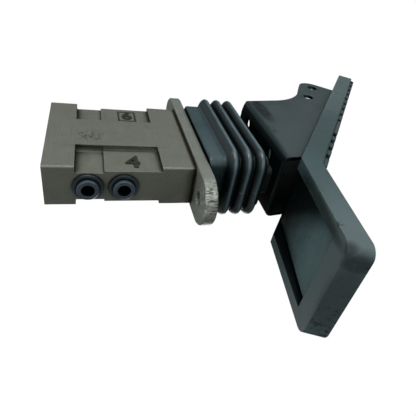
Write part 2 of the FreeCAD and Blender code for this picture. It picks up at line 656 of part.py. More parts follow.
def lock_nuts():
    """A hexagon nut on each adjusting screw, tight on top of its arm."""
    nuts = []
    for way in (1, -1):
        x = way * BORE_OFFSET
        nut = hexagon(LOCK_NUT_ACROSS_FLATS, ARM_TOP_Z, ARM_TOP_Z + LOCK_NUT_THICKNESS, x, 0)
        hole = disc(ADJUSTER_RADIUS + ADJUSTER_HOLE_CLEARANCE, ARM_TOP_Z - 1, ADJUSTER_TOP_Z, x)
        nuts.append(nut.cut(hole))
    return Part.makeCompound(nuts)


def bellows_sections(inset, z_low, z_high, rib_steps):
    """The wires of the bellows' outer form, moved inwards by inset. Each half of a rib takes
    rib_steps bands."""
    sizes = [(z_low, 0, 0), (BELLOWS_SKIRT_TOP_Z, 0, 0)]
    for index, rib_z in enumerate(BELLOWS_RIB_Z):
        if index > 0:
            valley_z = (BELLOWS_RIB_Z[index - 1] + rib_z) / 2
            sizes.append((valley_z - 0.5, BELLOWS_VALLEY_RISE, BELLOWS_VALLEY_RISE))
            sizes.append((valley_z + 0.5, BELLOWS_VALLEY_RISE, BELLOWS_VALLEY_RISE))
        for step in range(-rib_steps, rib_steps + 1):
            angle = math.radians(BELLOWS_RIB_ARC * step / rib_steps)
            grow = BELLOWS_RIB_HEIGHT * math.cos(angle)
            sizes.append((rib_z + BELLOWS_RIB_HALF_HEIGHT * math.sin(angle), grow, grow))
    top_x = BELLOWS_TOP_HALF_X - BELLOWS_HALF_X
    top_y = BELLOWS_TOP_HALF_Y - BELLOWS_HALF_Y
    sizes.append((z_high, top_x, top_y))
    wires = []
    for z, grow_x, grow_y in sizes:
        radius = BELLOWS_CORNER_RADIUS + max(grow_x, grow_y) / 2 - inset / 2
        half_x = BELLOWS_HALF_X + grow_x - inset
        half_y = BELLOWS_HALF_Y + grow_y - inset
        wires.append(round_rect_wire(half_x, half_y, radius, z))
    return wires


def bellows():
    """The rubber boot: a plain skirt, three ribs, and a lip at each end that grips its groove."""
    sections = bellows_sections(0, BELLOWS_BASE_Z, BELLOWS_TOP_Z, BELLOWS_RIB_STEPS)
    outer = Part.makeLoft(sections, True, True)
    inner_low = BELLOWS_BASE_Z + BELLOWS_LIP_THICKNESS
    inner_high = BELLOWS_TOP_Z - BELLOWS_LIP_THICKNESS
    inner = Part.makeLoft(bellows_sections(BELLOWS_WALL, inner_low, inner_high, 1), True, True)
    base_hole = round_rect(
        RIM_HALF_X - RIM_GROOVE_DEPTH + BELLOWS_FIT_GAP, RIM_HALF_Y - RIM_GROOVE_DEPTH + BELLOWS_FIT_GAP,
        RIM_CORNER_RADIUS - 1, BELLOWS_BASE_Z - 1, inner_low + 1,
    )
    top_hole = round_rect(
        HEAD_HALF_X - HEAD_GROOVE_DEPTH + BELLOWS_FIT_GAP, HEAD_HALF_Y - HEAD_GROOVE_DEPTH + BELLOWS_FIT_GAP,
        HEAD_CORNER_RADIUS - 2, inner_high - 1, BELLOWS_TOP_Z + 1,
    )
    return outer.cut([inner, base_hole, top_hole])


def toe_way():
    angle = math.radians(TOE_ANGLE)
    return (-math.cos(angle), math.sin(angle)), (math.sin(angle), math.cos(angle))


def heel_way():
    angle = math.radians(HEEL_ANGLE)
    return (math.cos(angle), -math.sin(angle)), (math.sin(angle), math.cos(angle))


def tread_point(distance, height):
    """A point of the treads in the side view. The height is square to the tread, from its lower rim.
    The distance runs from the corner between the treads, positive up the toe side."""
    along, up = toe_way() if distance > 0 else heel_way()
    if distance == 0:
        toe_up = toe_way()[1]
        heel_up = heel_way()[1]
        spread = 1 + toe_up[0] * heel_up[0] + toe_up[1] * heel_up[1]
        up = ((toe_up[0] + heel_up[0]) / spread, (toe_up[1] + heel_up[1]) / spread)
    reach = abs(distance)
    x = TREAD_CORNER_X + reach * along[0] + height * up[0]
    z = TREAD_CORNER_Z + reach * along[1] + height * up[1]
    return x, z


def tread_profile(low, high, toe_length, heel_length, heel_draft=0.0):
    return [
        tread_point(toe_length, low), tread_point(0, low), tread_point(-heel_length, low),
        tread_point(-heel_length - heel_draft, high), tread_point(0, high), tread_point(toe_length, high),
    ]


def meeting_point(first, first_way, second, second_way):
    """Where two straight lines of the side view cross, each given by a point and a way."""
    across = first_way[0] * second_way[1] - first_way[1] * second_way[0]
    gap = (second[0] - first[0], second[1] - first[1])
    share = (gap[0] * second_way[1] - gap[1] * second_way[0]) / across
    return first[0] + share * first_way[0], first[1] + share * first_way[1]


def plate_profile(toe_length, heel_length, drop=0.0):
    """The side view of the bent plate. Its heel leg lies deeper in the cover at the corner than at the end.
    The drop lowers its underside, which opens the cover's pocket downwards."""
    toe_end = tread_point(toe_length, PLATE_RECESS)
    toe_along, toe_up = toe_way()
    up_x, up_z = heel_way()[1]
    corner = (TREAD_CORNER_X + PLATE_CORNER_RECESS * up_x, TREAD_CORNER_Z + PLATE_CORNER_RECESS * up_z)
    shallow = tread_point(COVER_END_WALL - HEEL_LENGTH, PLATE_HEEL_RECESS)
    reach = math.hypot(shallow[0] - corner[0], shallow[1] - corner[1])
    heel_along = ((shallow[0] - corner[0]) / reach, (shallow[1] - corner[1]) / reach)
    heel_up = (-heel_along[1], heel_along[0])
    heel_end = (corner[0] + heel_length * heel_along[0], corner[1] + heel_length * heel_along[1])

    def bend(rise):
        toe_base = (toe_end[0] + rise * toe_up[0], toe_end[1] + rise * toe_up[1])
        heel_base = (heel_end[0] + rise * heel_up[0], heel_end[1] + rise * heel_up[1])
        return toe_base, meeting_point(toe_base, toe_along, heel_base, heel_along), heel_base

    low = bend(-drop)
    high = bend(PLATE_THICKNESS)
    return [low[0], low[1], low[2], high[2], high[1], high[0]]


def bracket_side_face():
    """The side view of the bracket, one closed outline."""
    _, toe_up = toe_way()

    def height_over_rim(x, z):
        return (x - TREAD_CORNER_X) * toe_up[0] + (z - TREAD_CORNER_Z) * toe_up[1]

    heel_top_z = HEAD_TOP_Z + (PLATE_RECESS - height_over_rim(WEB_HEEL_TOP_X, HEAD_TOP_Z)) / toe_up[1]
    spoke_x = EAR_TIP_START[0] - LEVER_HOLE_OUTER[0]
    spoke_z = EAR_TIP_START[1] - LEVER_HOLE_OUTER[1]
    rise = (spoke_z, -spoke_x)
    step = (PLATE_RECESS - height_over_rim(*EAR_TIP_START)) / (rise[0] * toe_up[0] + rise[1] * toe_up[1])
    ear_top = (EAR_TIP_START[0] + step * rise[0], EAR_TIP_START[1] + step * rise[1])

    def at(point):
        return vec(point[0], 0, point[1])

    base_z = HEAD_TOP_Z
    outline = [
        Part.makeLine(at((BASE_TOE_X, base_z)), at((BASE_HEEL_X, base_z))),
        Part.makeLine(at((BASE_HEEL_X, base_z)), at((WEB_HEEL_TOP_X, heel_top_z))),
        Part.makeLine(at((WEB_HEEL_TOP_X, heel_top_z)), at(ear_top)),
        Part.makeLine(at(ear_top), at(EAR_TIP_START)),
        Part.Arc(at(EAR_TIP_START), at(EAR_TIP_MIDDLE), at(EAR_TIP_END)).toShape(),
        Part.makeLine(at(EAR_TIP_END), at(THROAT_START)),
        Part.Arc(at(THROAT_START), at(THROAT_MIDDLE), at(THROAT_END)).toShape(),
        Part.makeLine(at(THROAT_END), at(WEB_LOWER_CORNER)),
        Part.makeLine(at(WEB_LOWER_CORNER), at((BASE_TOE_X, base_z))),
    ]
    return Part.Face(Part.Wire(outline))


def channel_section(x):
    """The bent sheet seen from the end: a flat base and two upright webs."""
    base_z = HEAD_TOP_Z
    top_z = CHANNEL_TOP_Z
    outer_y = WEB_OUTER_Y
    radius = BEND_OUTER_RADIUS
    inner_radius = radius - SHEET

    def arc(centre_y, centre_z, size, way):
        low = vec(x, centre_y, centre_z - size)
        middle = vec(x, centre_y + way * size * math.sqrt(0.5), centre_z - size * math.sqrt(0.5))
        high = vec(x, centre_y + way * size, centre_z)
        return low, middle, high

    bend_y = outer_y - radius
    bend_z = base_z + radius
    out_right = arc(bend_y, bend_z, radius, 1)
    out_left = arc(-bend_y, bend_z, radius, -1)
    in_right = arc(bend_y, bend_z, inner_radius, 1)
    in_left = arc(-bend_y, bend_z, inner_radius, -1)
    outer_top_right = vec(x, outer_y, top_z)
    inner_top_right = vec(x, outer_y - SHEET, top_z)
    outer_top_left = vec(x, -outer_y, top_z)
    inner_top_left = vec(x, SHEET - outer_y, top_z)
    edges = [
        Part.makeLine(out_left[0], out_right[0]),
        Part.Arc(*out_right).toShape(),
        Part.makeLine(out_right[2], outer_top_right),
        Part.makeLine(outer_top_right, inner_top_right),
        Part.makeLine(inner_top_right, in_right[2]),
        Part.Arc(*in_right).toShape(),
        Part.makeLine(in_right[0], in_left[0]),
        Part.Arc(*in_left).toShape(),
        Part.makeLine(in_left[2], inner_top_left),
        Part.makeLine(inner_top_left, outer_top_left),
        Part.makeLine(outer_top_left, out_left[2]),
        Part.Arc(*out_left).toShape(),
    ]
    return Part.Face(Part.Wire(edges))


def pedal_bracket():
    """The channel cut to its side view, with its screw holes and the two lever holes in each web."""
    channel = channel_section(CHANNEL_TOE_X).extrude(vec(CHANNEL_HEEL_X - CHANNEL_TOE_X, 0, 0))
    side = bracket_side_face()
    side.translate(vec(0, -2 * WEB_OUTER_Y, 0))
    side = side.extrude(vec(0, 4 * WEB_OUTER_Y, 0))
    bracket = channel.common(side)
    cuts = []
    for hole_x, hole_z in (LEVER_HOLE_OUTER, LEVER_HOLE_INNER):
        cuts.append(bar_y(LEVER_HOLE_RADIUS, -WEB_OUTER_Y - 1, WEB_OUTER_Y + 1, hole_x, hole_z))
    for sign_x, sign_y in CORNERS:
        x = sign_x * BRACKET_SCREW_X
        y = sign_y * BRACKET_SCREW_Y
        low = HEAD_TOP_Z - 1
        cuts.append(disc(BRACKET_SCREW_RADIUS + HOLE_CLEARANCE, low, HEAD_TOP_Z + SHEET + 1, x, y))
    for x in BASE_HOLE_X:
        for way in (1, -1):
            cuts.append(disc(BASE_HOLE_RADIUS, HEAD_TOP_Z - 1, HEAD_TOP_Z + SHEET + 1, x, way * BASE_HOLE_Y))
    return bracket.cut(cuts)


def bracket_screws():
    """Four socket screws down through the bracket into the rocker's head."""
    seat = HEAD_TOP_Z + SHEET + WASHER_THICKNESS
    length = WASHER_THICKNESS + SHEET + BRACKET_SCREW_GRIP
    screws = []
    for sign_x, sign_y in CORNERS:
        x = sign_x * BRACKET_SCREW_X
        y = sign_y * BRACKET_SCREW_Y
        screws.append(socket_screw(x, y, seat, BRACKET_SCREW_RADIUS, length))
    return Part.makeCompound(screws)


def bracket_washers():
    low = HEAD_TOP_Z + SHEET
    washers = []
    for sign_x, sign_y in CORNERS:
        x = sign_x * BRACKET_SCREW_X
        y = sign_y * BRACKET_SCREW_Y
        ring = disc(WASHER_RADIUS, low, low + WASHER_THICKNESS, x, y)
        hole = disc(BRACKET_SCREW_RADIUS + HOLE_CLEARANCE, low - 1, low + WASHER_THICKNESS + 1, x, y)
        washers.append(ring.cut(hole))
    return Part.makeCompound(washers)


def tread_plate():
    """The bent steel plate that stands on both webs and carries the treads."""
    toe_length = TOE_LENGTH - COVER_END_WALL - PLATE_END_GAP
    heel_length = HEEL_LENGTH - COVER_END_WALL - PLATE_END_GAP
    return side_prism(plate_profile(toe_length, heel_length), -WEB_OUTER_Y, WEB_OUTER_Y)


def cover_sides(margin=0.0):
    """The two sides of the cover, or of something the margin further in. The cover sits off centre."""
    return COVER_CENTRE_Y - COVER_HALF_WIDTH + margin, COVER_CENTRE_Y + COVER_HALF_WIDTH - margin


def on_cover_side(point):
    return any(abs(point.y - side) < 0.01 for side in cover_sides())


def end_corner_edges(solid):
    """The edges at the four outer corners of the treads, square to the tread."""
    found = []
    ends = [tread_point(TOE_LENGTH, COVER_DEPTH / 2)]
    ends.append(tread_point(-HEEL_LENGTH - COVER_HEEL_DRAFT / 2, COVER_DEPTH / 2))
    for edge in solid.Edges:
        centre = edge.CenterOfMass
        at_side = on_cover_side(centre)
        at_end = any(math.hypot(centre.x - x, centre.z - z) < 0.5 for x, z in ends)
        if at_side and at_end:
            found.append(edge)
    return found


def pad_profile(low, high):
    """The side view of the pad between two heights over the rim."""
    far = TOE_LENGTH - PAD_TOE_MARGIN
    near = PAD_CORNER_MARGIN
    return [
        tread_point(far, low), tread_point(near, low), tread_point(near, high), tread_point(far, high),
    ]


def tread_cover():
    """The moulded cover of both treads: a top, side walls down to the rim, and a pocket for the plate."""
    outline = tread_profile(0, COVER_DEPTH, TOE_LENGTH, HEEL_LENGTH, COVER_HEEL_DRAFT)
    cover = side_prism(outline, *cover_sides())
    cover = cover.makeFillet(COVER_CORNER_RADIUS, end_corner_edges(cover))
    top_edges = []
    for edge in cover.Edges:
        centre = edge.CenterOfMass
        for distance in (TOE_LENGTH / 2, -HEEL_LENGTH / 2):
            x, z = tread_point(distance, COVER_DEPTH)
            near = math.hypot(centre.x - x, centre.z - z) < 12
            if near and on_cover_side(centre):
                top_edges.append(edge)
    cover = cover.makeFillet(COVER_EDGE_RADIUS, top_edges)
    pocket_profile = plate_profile(TOE_LENGTH - COVER_END_WALL, HEEL_LENGTH - COVER_END_WALL, POCKET_DROP)
    pocket = side_prism(pocket_profile, *cover_sides(COVER_WALL))
    recess_profile = pad_profile(COVER_DEPTH - PAD_SINK, COVER_DEPTH + PAD_RISE)
    recess = side_prism(recess_profile, *cover_sides(PAD_SIDE_MARGIN))
    return cover.cut([pocket, recess])


def stud_pad():
    """The pad let into the toe tread: a slab with gaps across it and, beside its plain block, along it."""
    side_low, side_high = cover_sides(PAD_SIDE_MARGIN)
    top = COVER_DEPTH + PAD_RISE
    floor = COVER_DEPTH + PAD_SHEET_RISE
    slab = side_prism(pad_profile(COVER_DEPTH - PAD_SINK, top), side_low, side_high)
    gaps = []

    def gap(start, stop, low_y, high_y):
        profile = [
            tread_point(stop, floor), tread_point(start, floor),
            tread_point(start, top + 1), tread_point(stop, top + 1),
        ]
        gaps.append(side_prism(profile, low_y, high_y))

    lower = [LOWER_BAND_START + LOWER_BAND_PITCH * index for index in range(LOWER_BAND_GAPS)]
    upper = [UPPER_BAND_START + UPPER_BAND_PITCH * index for index in range(UPPER_BAND_GAPS)]
    for middle in lower + upper:
        gap(middle - PAD_GAP / 2, middle + PAD_GAP / 2, side_low - 1, side_high + 1)
    pitch = (side_high - side_low + PAD_COLUMN_GAP) / PAD_COLUMNS
    for column in range(1, PAD_COLUMNS):
        middle = side_low + pitch * column - PAD_COLUMN_GAP / 2
        sides = (middle - PAD_COLUMN_GAP / 2, middle + PAD_COLUMN_GAP / 2)
        gap(PAD_CORNER_MARGIN / 2, lower[-1], *sides)
        gap(upper[0], TOE_LENGTH, *sides)
    return slab.cut(gaps)


def build():
    """Every node of the part, by name."""
    nodes = {
        "valve_housing": housing(),
        "mounting_flange": mounting_flange(),
        "flange_screws": flange_screws(),
        "pivot_pin": pivot_pin(),
        "pivot_circlips": pivot_circlips(),
        "pivot_bushes": pivot_bushes(),
        "rocker_lever": rocker_lever(),
        "adjusting_screws": adjusting_screws(),
        "lock_nuts": lock_nuts(),
        "bellows": bellows(),
        "pedal_bracket": pedal_bracket(),
        "bracket_screws": bracket_screws(),
        "bracket_washers": bracket_washers(),
        "tread_plate": tread_plate(),
        "tread_cover": tread_cover(),
        "stud_pad": stud_pad(),
    }
    for side, way in SIDES:
        x = way * BORE_OFFSET
        nodes["guide_bush_" + side] = guide_bush(x)
        nodes["bush_seal_" + side] = ring_seal(BUSH_RADIUS - SEAL_SECTION, x, BUSH_SEAL_Z)
        nodes["plunger_seal_" + side] = ring_seal(PLUNGER_RADIUS, x, PLUNGER_SEAL_Z)
        nodes["wiper_seal_" + side] = wiper_seal(x)
        nodes["plunger_" + side] = plunger(x)
        nodes["return_spring_" + side] = return_spring(x)
        nodes["control_spring_" + side] = control_spring(x)
        nodes["spring_seat_" + side] = spring_seat(x)
        nodes["spool_" + side] = spool(x)
        nodes["port_plug_" + side + "_lower"] = port_plug(way, PORT_LOWER_Z)
        nodes["port_plug_" + side + "_upper"] = port_plug(way, PORT_LOWER_Z + PORT_PITCH)
    return nodes


def main():
    os.makedirs("parts", exist_ok=True)
    for name, shape in build().items():
        if not shape.isValid():
            print("not valid:", name)
        shape.exportStep("parts/" + name + ".step")
        box = shape.BoundBox
        print(name, len(shape.Solids), round(shape.Volume, 1), round(box.XMin, 2), round(box.XMax, 2),
              round(box.YMin, 2), round(box.YMax, 2), round(box.ZMin, 2), round(box.ZMax, 2))


main()
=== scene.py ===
"""The looks of a hydraulic foot pilot valve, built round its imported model.

Metres, in the model's own frame: +Z up the valve, z = 0 on the seating face of the flange, +X the heel
end, Y along the pivot pin. Sizes are in millimetres where the name ends in _MM or _mm.
"""

import json
import logging
import math
from dataclasses import dataclass
from enum import Enum
from typing import Any

import bpy
from mathutils import Matrix, Vector

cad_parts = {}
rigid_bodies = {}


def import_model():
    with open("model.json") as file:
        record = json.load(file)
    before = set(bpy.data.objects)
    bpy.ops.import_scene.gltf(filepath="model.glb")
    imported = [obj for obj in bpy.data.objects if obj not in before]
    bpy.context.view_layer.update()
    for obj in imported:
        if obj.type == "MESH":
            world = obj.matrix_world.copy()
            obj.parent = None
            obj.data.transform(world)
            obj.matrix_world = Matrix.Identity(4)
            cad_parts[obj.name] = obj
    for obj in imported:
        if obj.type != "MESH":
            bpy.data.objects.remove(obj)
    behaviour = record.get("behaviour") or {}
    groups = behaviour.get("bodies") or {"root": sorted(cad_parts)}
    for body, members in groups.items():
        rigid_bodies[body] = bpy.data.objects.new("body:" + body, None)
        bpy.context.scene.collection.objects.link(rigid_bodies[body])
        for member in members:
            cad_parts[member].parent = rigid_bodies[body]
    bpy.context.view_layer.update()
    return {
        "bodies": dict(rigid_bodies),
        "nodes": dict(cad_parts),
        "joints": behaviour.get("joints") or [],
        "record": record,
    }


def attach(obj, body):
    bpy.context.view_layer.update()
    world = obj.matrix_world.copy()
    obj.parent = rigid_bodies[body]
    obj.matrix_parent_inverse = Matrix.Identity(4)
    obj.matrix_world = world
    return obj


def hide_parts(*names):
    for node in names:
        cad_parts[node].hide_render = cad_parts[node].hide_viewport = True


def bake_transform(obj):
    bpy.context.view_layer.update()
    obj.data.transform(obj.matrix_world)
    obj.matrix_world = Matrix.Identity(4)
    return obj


LOG = logging.getLogger("foot_valve")
MM = 0.001

# Sizes of the model that both finishes and added pieces are fitted to
HOUSING_HALF_WIDTH_MM = 15.7
TREAD_CORNER_X_MM = 67.4
TREAD_CORNER_Z_MM = 67.0

# Where the rib tree writes how far up a rib each point lies, from 0 in a valley to 1 on a crest
RIB_ATTRIBUTE = "rib_rise"

# Between which strengths of its noise each pattern fades in
CLOUD_LEVELS = (0.36, 0.66)
GLOSS_LEVELS = (0.3, 0.7)
MARK_LEVELS = (0.42, 0.62)
WEAR_LEVELS = (0.3, 0.6)
SMUDGE_FADE = 0.09
# How sharp a turn of the surface starts to wear, and how sharp a one is fully worn
EDGE_TURN = (0.02, 0.2)
# The outer share of a soft area's reach over which it fades
AREA_FADE = 0.6
# What is left of the gloss under painted shade in a gap and under the patches of dirt and painted shade
GLOSS_UNDER_SHADE_AND_GRIME = 0.1
# The wave texture turns by this many radians over one unit
WAVE_RADIANS = 20
HUNDREDTH = 0.01

Triple = tuple[float, float, float]
Socket = bpy.types.NodeSocket
Value = Socket | float | tuple | str


def linear(colour: str) -> tuple[float, float, float, float]:
    """Turns an sRGB hex colour into the linear one that a shader reads.

    Args:
        colour: six hex digits.

    Returns:
        Red, green, blue and an alpha of 1.
    """
    channels = [int(colour[index:index + 2], 16) / 255 for index in (0, 2, 4)]
    bright = [
        value / 12.92 if value <= 0.04045 else ((value + 0.055) / 1.055) ** 2.4
        for value in channels
    ]
    return bright[0], bright[1], bright[2], 1.0


def per_mm(size_mm: float) -> float:
    """The texture scale at which one cell of a pattern is size_mm across."""
    return 1 / MM / size_mm


class Kind(Enum):
    """The nodes in use, each as its type, the inputs that its parts go to, its output and its settings."""

    # Numbers
    ADD = ("ShaderNodeMath", (0, 1), 0, {"operation": "ADD"})
    LESS = ("ShaderNodeMath", (0, 1), 0, {"operation": "SUBTRACT"})
    TIMES = ("ShaderNodeMath", (0, 1), 0, {"operation": "MULTIPLY"})
    OVER = ("ShaderNodeMath", (0, 1), 0, {"operation": "DIVIDE"})
    POWER = ("ShaderNodeMath", (0, 1), 0, {"operation": "POWER"})
    IS_MORE = ("ShaderNodeMath", (0, 1), 0, {"operation": "GREATER_THAN"})
    SMALLER = ("ShaderNodeMath", (0, 1), 0, {"operation": "MINIMUM"})
    LARGER = ("ShaderNodeMath", (0, 1), 0, {"operation": "MAXIMUM"})
    ROUND = ("ShaderNodeMath", (0,), 0, {"operation": "ROUND"})
    UNSIGNED = ("ShaderNodeMath", (0,), 0, {"operation": "ABSOLUTE"})
    COSINE = ("ShaderNodeMath", (0,), 0, {"operation": "COSINE"})
    RAMP = ("ShaderNodeMapRange", (0, 1, 2), 0, {"interpolation_type": "SMOOTHSTEP"})
    SPREAD = ("ShaderNodeMapRange", (0, 1, 2, 3, 4), 0, {})
    # Vectors
    POINT = ("ShaderNodeCombineXYZ", (0, 1, 2), 0, {})
    X_OF = ("ShaderNodeSeparateXYZ", (0,), "X", {})
    Y_OF = ("ShaderNodeSeparateXYZ", (0,), "Y", {})
    Z_OF = ("ShaderNodeSeparateXYZ", (0,), "Z", {})
    VECTOR_LESS = ("ShaderNodeVectorMath", (0, 1), "Vector", {"operation": "SUBTRACT"})
    VECTOR_TIMES = ("ShaderNodeVectorMath", (0, 1), "Vector", {"operation": "MULTIPLY"})
    VECTOR_SMALLER = ("ShaderNodeVectorMath", (0, 1), "Vector", {"operation": "MINIMUM"})
    VECTOR_LARGER = ("ShaderNodeVectorMath", (0, 1), "Vector", {"operation": "MAXIMUM"})
    SCALED = ("ShaderNodeVectorMath", (0, "Scale"), "Vector", {"operation": "SCALE"})
    DIRECTION = ("ShaderNodeVectorMath", (0,), "Vector", {"operation": "NORMALIZE"})
    LENGTH = ("ShaderNodeVectorMath", (0,), "Value", {"operation": "LENGTH"})
    DOT = ("ShaderNodeVectorMath", (0, 1), "Value", {"operation": "DOT_PRODUCT"})
    # Places, patterns and relief on a surface
    OBJECT_PLACE = ("ShaderNodeTexCoord", (), "Object", {})
    FACING = ("ShaderNodeNewGeometry", (), "True Normal", {})
    RIB_RISE = ("ShaderNodeAttribute", (), "Fac", {"attribute_name": RIB_ATTRIBUTE})
    STRETCHED = ("ShaderNodeMapping", ("Vector", "Scale", "Location"), 0, {})
    TURNED = ("ShaderNodeMapping", ("Vector", "Rotation"), 0, {})
    NOISE = ("ShaderNodeTexNoise", ("Vector", "Scale", "Detail", "Roughness"), 0, {})
    WAVE = (
        "ShaderNodeTexWave", ("Vector", "Scale", "Distortion", "Detail", "Detail Scale"), "Fac",
        {"wave_type": "BANDS", "bands_direction": "Y"},
    )
    MIX = ("ShaderNodeMix", (0, 6, 7), 2, {"data_type": "RGBA"})
    ROUND_EDGES = ("ShaderNodeBevel", ("Radius",), 0, {"samples": 6})
    OPENNESS = ("ShaderNodeAmbientOcclusion", ("Distance",), "AO", {"samples": 8})
    RELIEF = ("ShaderNodeBump", ("Height", "Distance", "Normal"), 0, {})
    # Shaders, light and the ends of shader trees
    SURFACE = (
        "ShaderNodeBsdfPrincipled",
        ("Base Color", "Metallic", "Roughness", "Specular IOR Level", "Normal"), 0, {},
    )
    MATT = ("ShaderNodeBsdfDiffuse", ("Color", "Roughness"), 0, {})
    GLOW = ("ShaderNodeEmission", ("Color", "Strength"), 0, {})
    BACKGROUND = ("ShaderNodeBackground", ("Color", "Strength"), 0, {})
    TOGETHER = ("ShaderNodeAddShader", (0, 1), 0, {})
    CAMERA_RAY = ("ShaderNodeLightPath", (), "Is Camera Ray", {})
    TRANSMISSION_RAY = ("ShaderNodeLightPath", (), "Is Transmission Ray", {})
    MATERIAL_END = ("ShaderNodeOutputMaterial", ("Surface",), None, {})
    WORLD_END = ("ShaderNodeOutputWorld", ("Surface",), None, {})
    # Geometry
    GIVEN = ("NodeGroupInput", (), 0, {})
    POSITION = ("GeometryNodeInputPosition", (), 0, {})
    SHARE_ALONG = ("GeometryNodeSplineParameter", (), "Factor", {})
    SPIRAL = (
        "GeometryNodeCurveSpiral",
        ("Resolution", "Rotations", "Start Radius", "End Radius", "Height"), 0, {},
    )
    CIRCLE = ("GeometryNodeCurvePrimitiveCircle", ("Resolution", "Radius"), 0, {})
    SWEPT = ("GeometryNodeCurveToMesh", ("Curve", "Profile Curve", "Fill Caps"), 0, {})
    BLOCK = ("GeometryNodeMeshCube", ("Size",), 0, {})
    GRID = ("GeometryNodeMeshGrid", ("Size X", "Size Y", "Vertices X", "Vertices Y"), 0, {})
    REPEATED = ("GeometryNodeInstanceOnPoints", ("Points", "Instance"), 0, {})
    SHIFTED = ("GeometryNodeSetPosition", ("Geometry", "Offset"), 0, {})
    PLACED = ("GeometryNodeSetPosition", ("Geometry", "Selection", "Position"), 0, {})
    MOVED = ("GeometryNodeTransform", ("Geometry", "Translation"), 0, {})
    JOINED = ("GeometryNodeJoinGeometry", ("Geometry", "Geometry"), 0, {})
    NOTED = (
        "GeometryNodeStoreNamedAttribute", ("Geometry", "Name", "Value"), 0,
        {"data_type": "FLOAT", "domain": "POINT"},
    )
    MADE_REAL = ("GeometryNodeRealizeInstances", ("Geometry",), 0, {})
    DRESSED = ("GeometryNodeSetMaterial", ("Geometry", "Material"), 0, {})
    GEOMETRY_END = ("NodeGroupOutput", ("Geometry",), None, {})


class Noise(Enum):
    """The noises in use, each as how many finer layers it has and how strong they are."""

    CLOUD = (6.0, 0.62)
    GRAIN = (3.0, 0.55)
    MARK = (4.0, 0.6)
    SMUDGE = (8.0, 0.72)
    PATCH = (8.0, 0.75)
    SPECK = (5.0, 0.7)
    RUB = (5.0, 0.65)
    STROKE = (2.0, 0.5)
    PAPER = (3.0, 0.5)


class Tree:
    """A node tree, and the one way to add a node to it."""

    def __init__(self, tree: bpy.types.NodeTree) -> None:
        """Takes a tree and empties it."""
        self.tree = tree
        tree.nodes.clear()

    def add(self, kind: Kind, *parts: Value) -> Socket | None:
        """Adds one node with its settings and links.

        Args:
            kind: which node, with its settings.
            parts: for each of the kind's inputs in turn, a socket to link or a value to set.

        Returns:
            The kind's output, or None for a node that ends a tree.
        """
        node_type, inputs, output, settings = kind.value
        node = self.tree.nodes.new(node_type)
        for name, value in settings.items():
            setattr(node, name, value)
        for name, value in zip(inputs, parts):
            if isinstance(value, Socket):
                self.tree.links.new(value, node.inputs[name])
            else:
                node.inputs[name].default_value = value
        return None if output is None else node.outputs[output]

    def product(self, first: Value, *others: Value) -> Value:
        """Multiplies shares, each a socket or a number.

        Args:
            first: the first share.
            others: the shares that it is multiplied by, in order.

        Returns:
            The product.
        """
        for other in others:
            first = self.add(Kind.TIMES, first, other)
        return first


class Paint(Tree):
    """A new material's tree, with the object coordinates and the areas that finishes share."""

    def __init__(self, name: str) -> None:
        """Starts an empty material of that name."""
        self.material = bpy.data.materials.new(name)
        self.material.use_nodes = True
        super().__init__(self.material.node_tree)
        self.place = self.add(Kind.OBJECT_PLACE)

    def islands(
        self, noise: Noise, cell_mm: float, levels: tuple[float, float], place: Socket | None = None
    ) -> Socket:
        """Soft-edged islands where a noise is strong.

        Args:
            noise: which noise.
            cell_mm: the size of its cells.
            levels: its strength where an island's edge starts and where the island is full.
            place: the coordinates that the noise reads, or None for the plain ones.

        Returns:
            The share of the islands, from 0 to 1.
        """
        strength = self.add(Kind.NOISE, place or self.place, per_mm(cell_mm), *noise.value)
        return self.add(Kind.RAMP, strength, *levels)

    def near(self, centre_mm: Triple, reach_mm: Triple) -> Socket:
        """A soft ball-shaped area.

        Args:
            centre_mm: its middle.
            reach_mm: its half sizes.

        Returns:
            Its share: 1 in the middle, 0 outside the reach.
        """
        scale = tuple(1 / (reach * MM) for reach in reach_mm)
        shift = tuple(-centre * MM * size for centre, size in zip(centre_mm, scale))
        far = self.add(Kind.LENGTH, self.add(Kind.STRETCHED, self.place, scale, shift))
        return self.add(Kind.RAMP, self.add(Kind.LESS, 1.0, far), 0.0, AREA_FADE)


class Lay(Enum):
    """Which way the tool marks of a machined surface run."""

    NONE = (1.0, 1.0, 1.0)
    ALONG_X = (0.04, 1.0, 1.0)
    ALONG_Y = (1.0, 0.04, 1.0)


@dataclass(frozen=True)
class Patch:
    """A soft-edged darker area broken up by noise, used for dirt and scuffs and for painted shade.

    The noise shows above its level, and share is how dark the patch then gets.
    """

    centre_mm: Triple
    reach_mm: Triple
    cell_mm: float
    level: float
    share: float


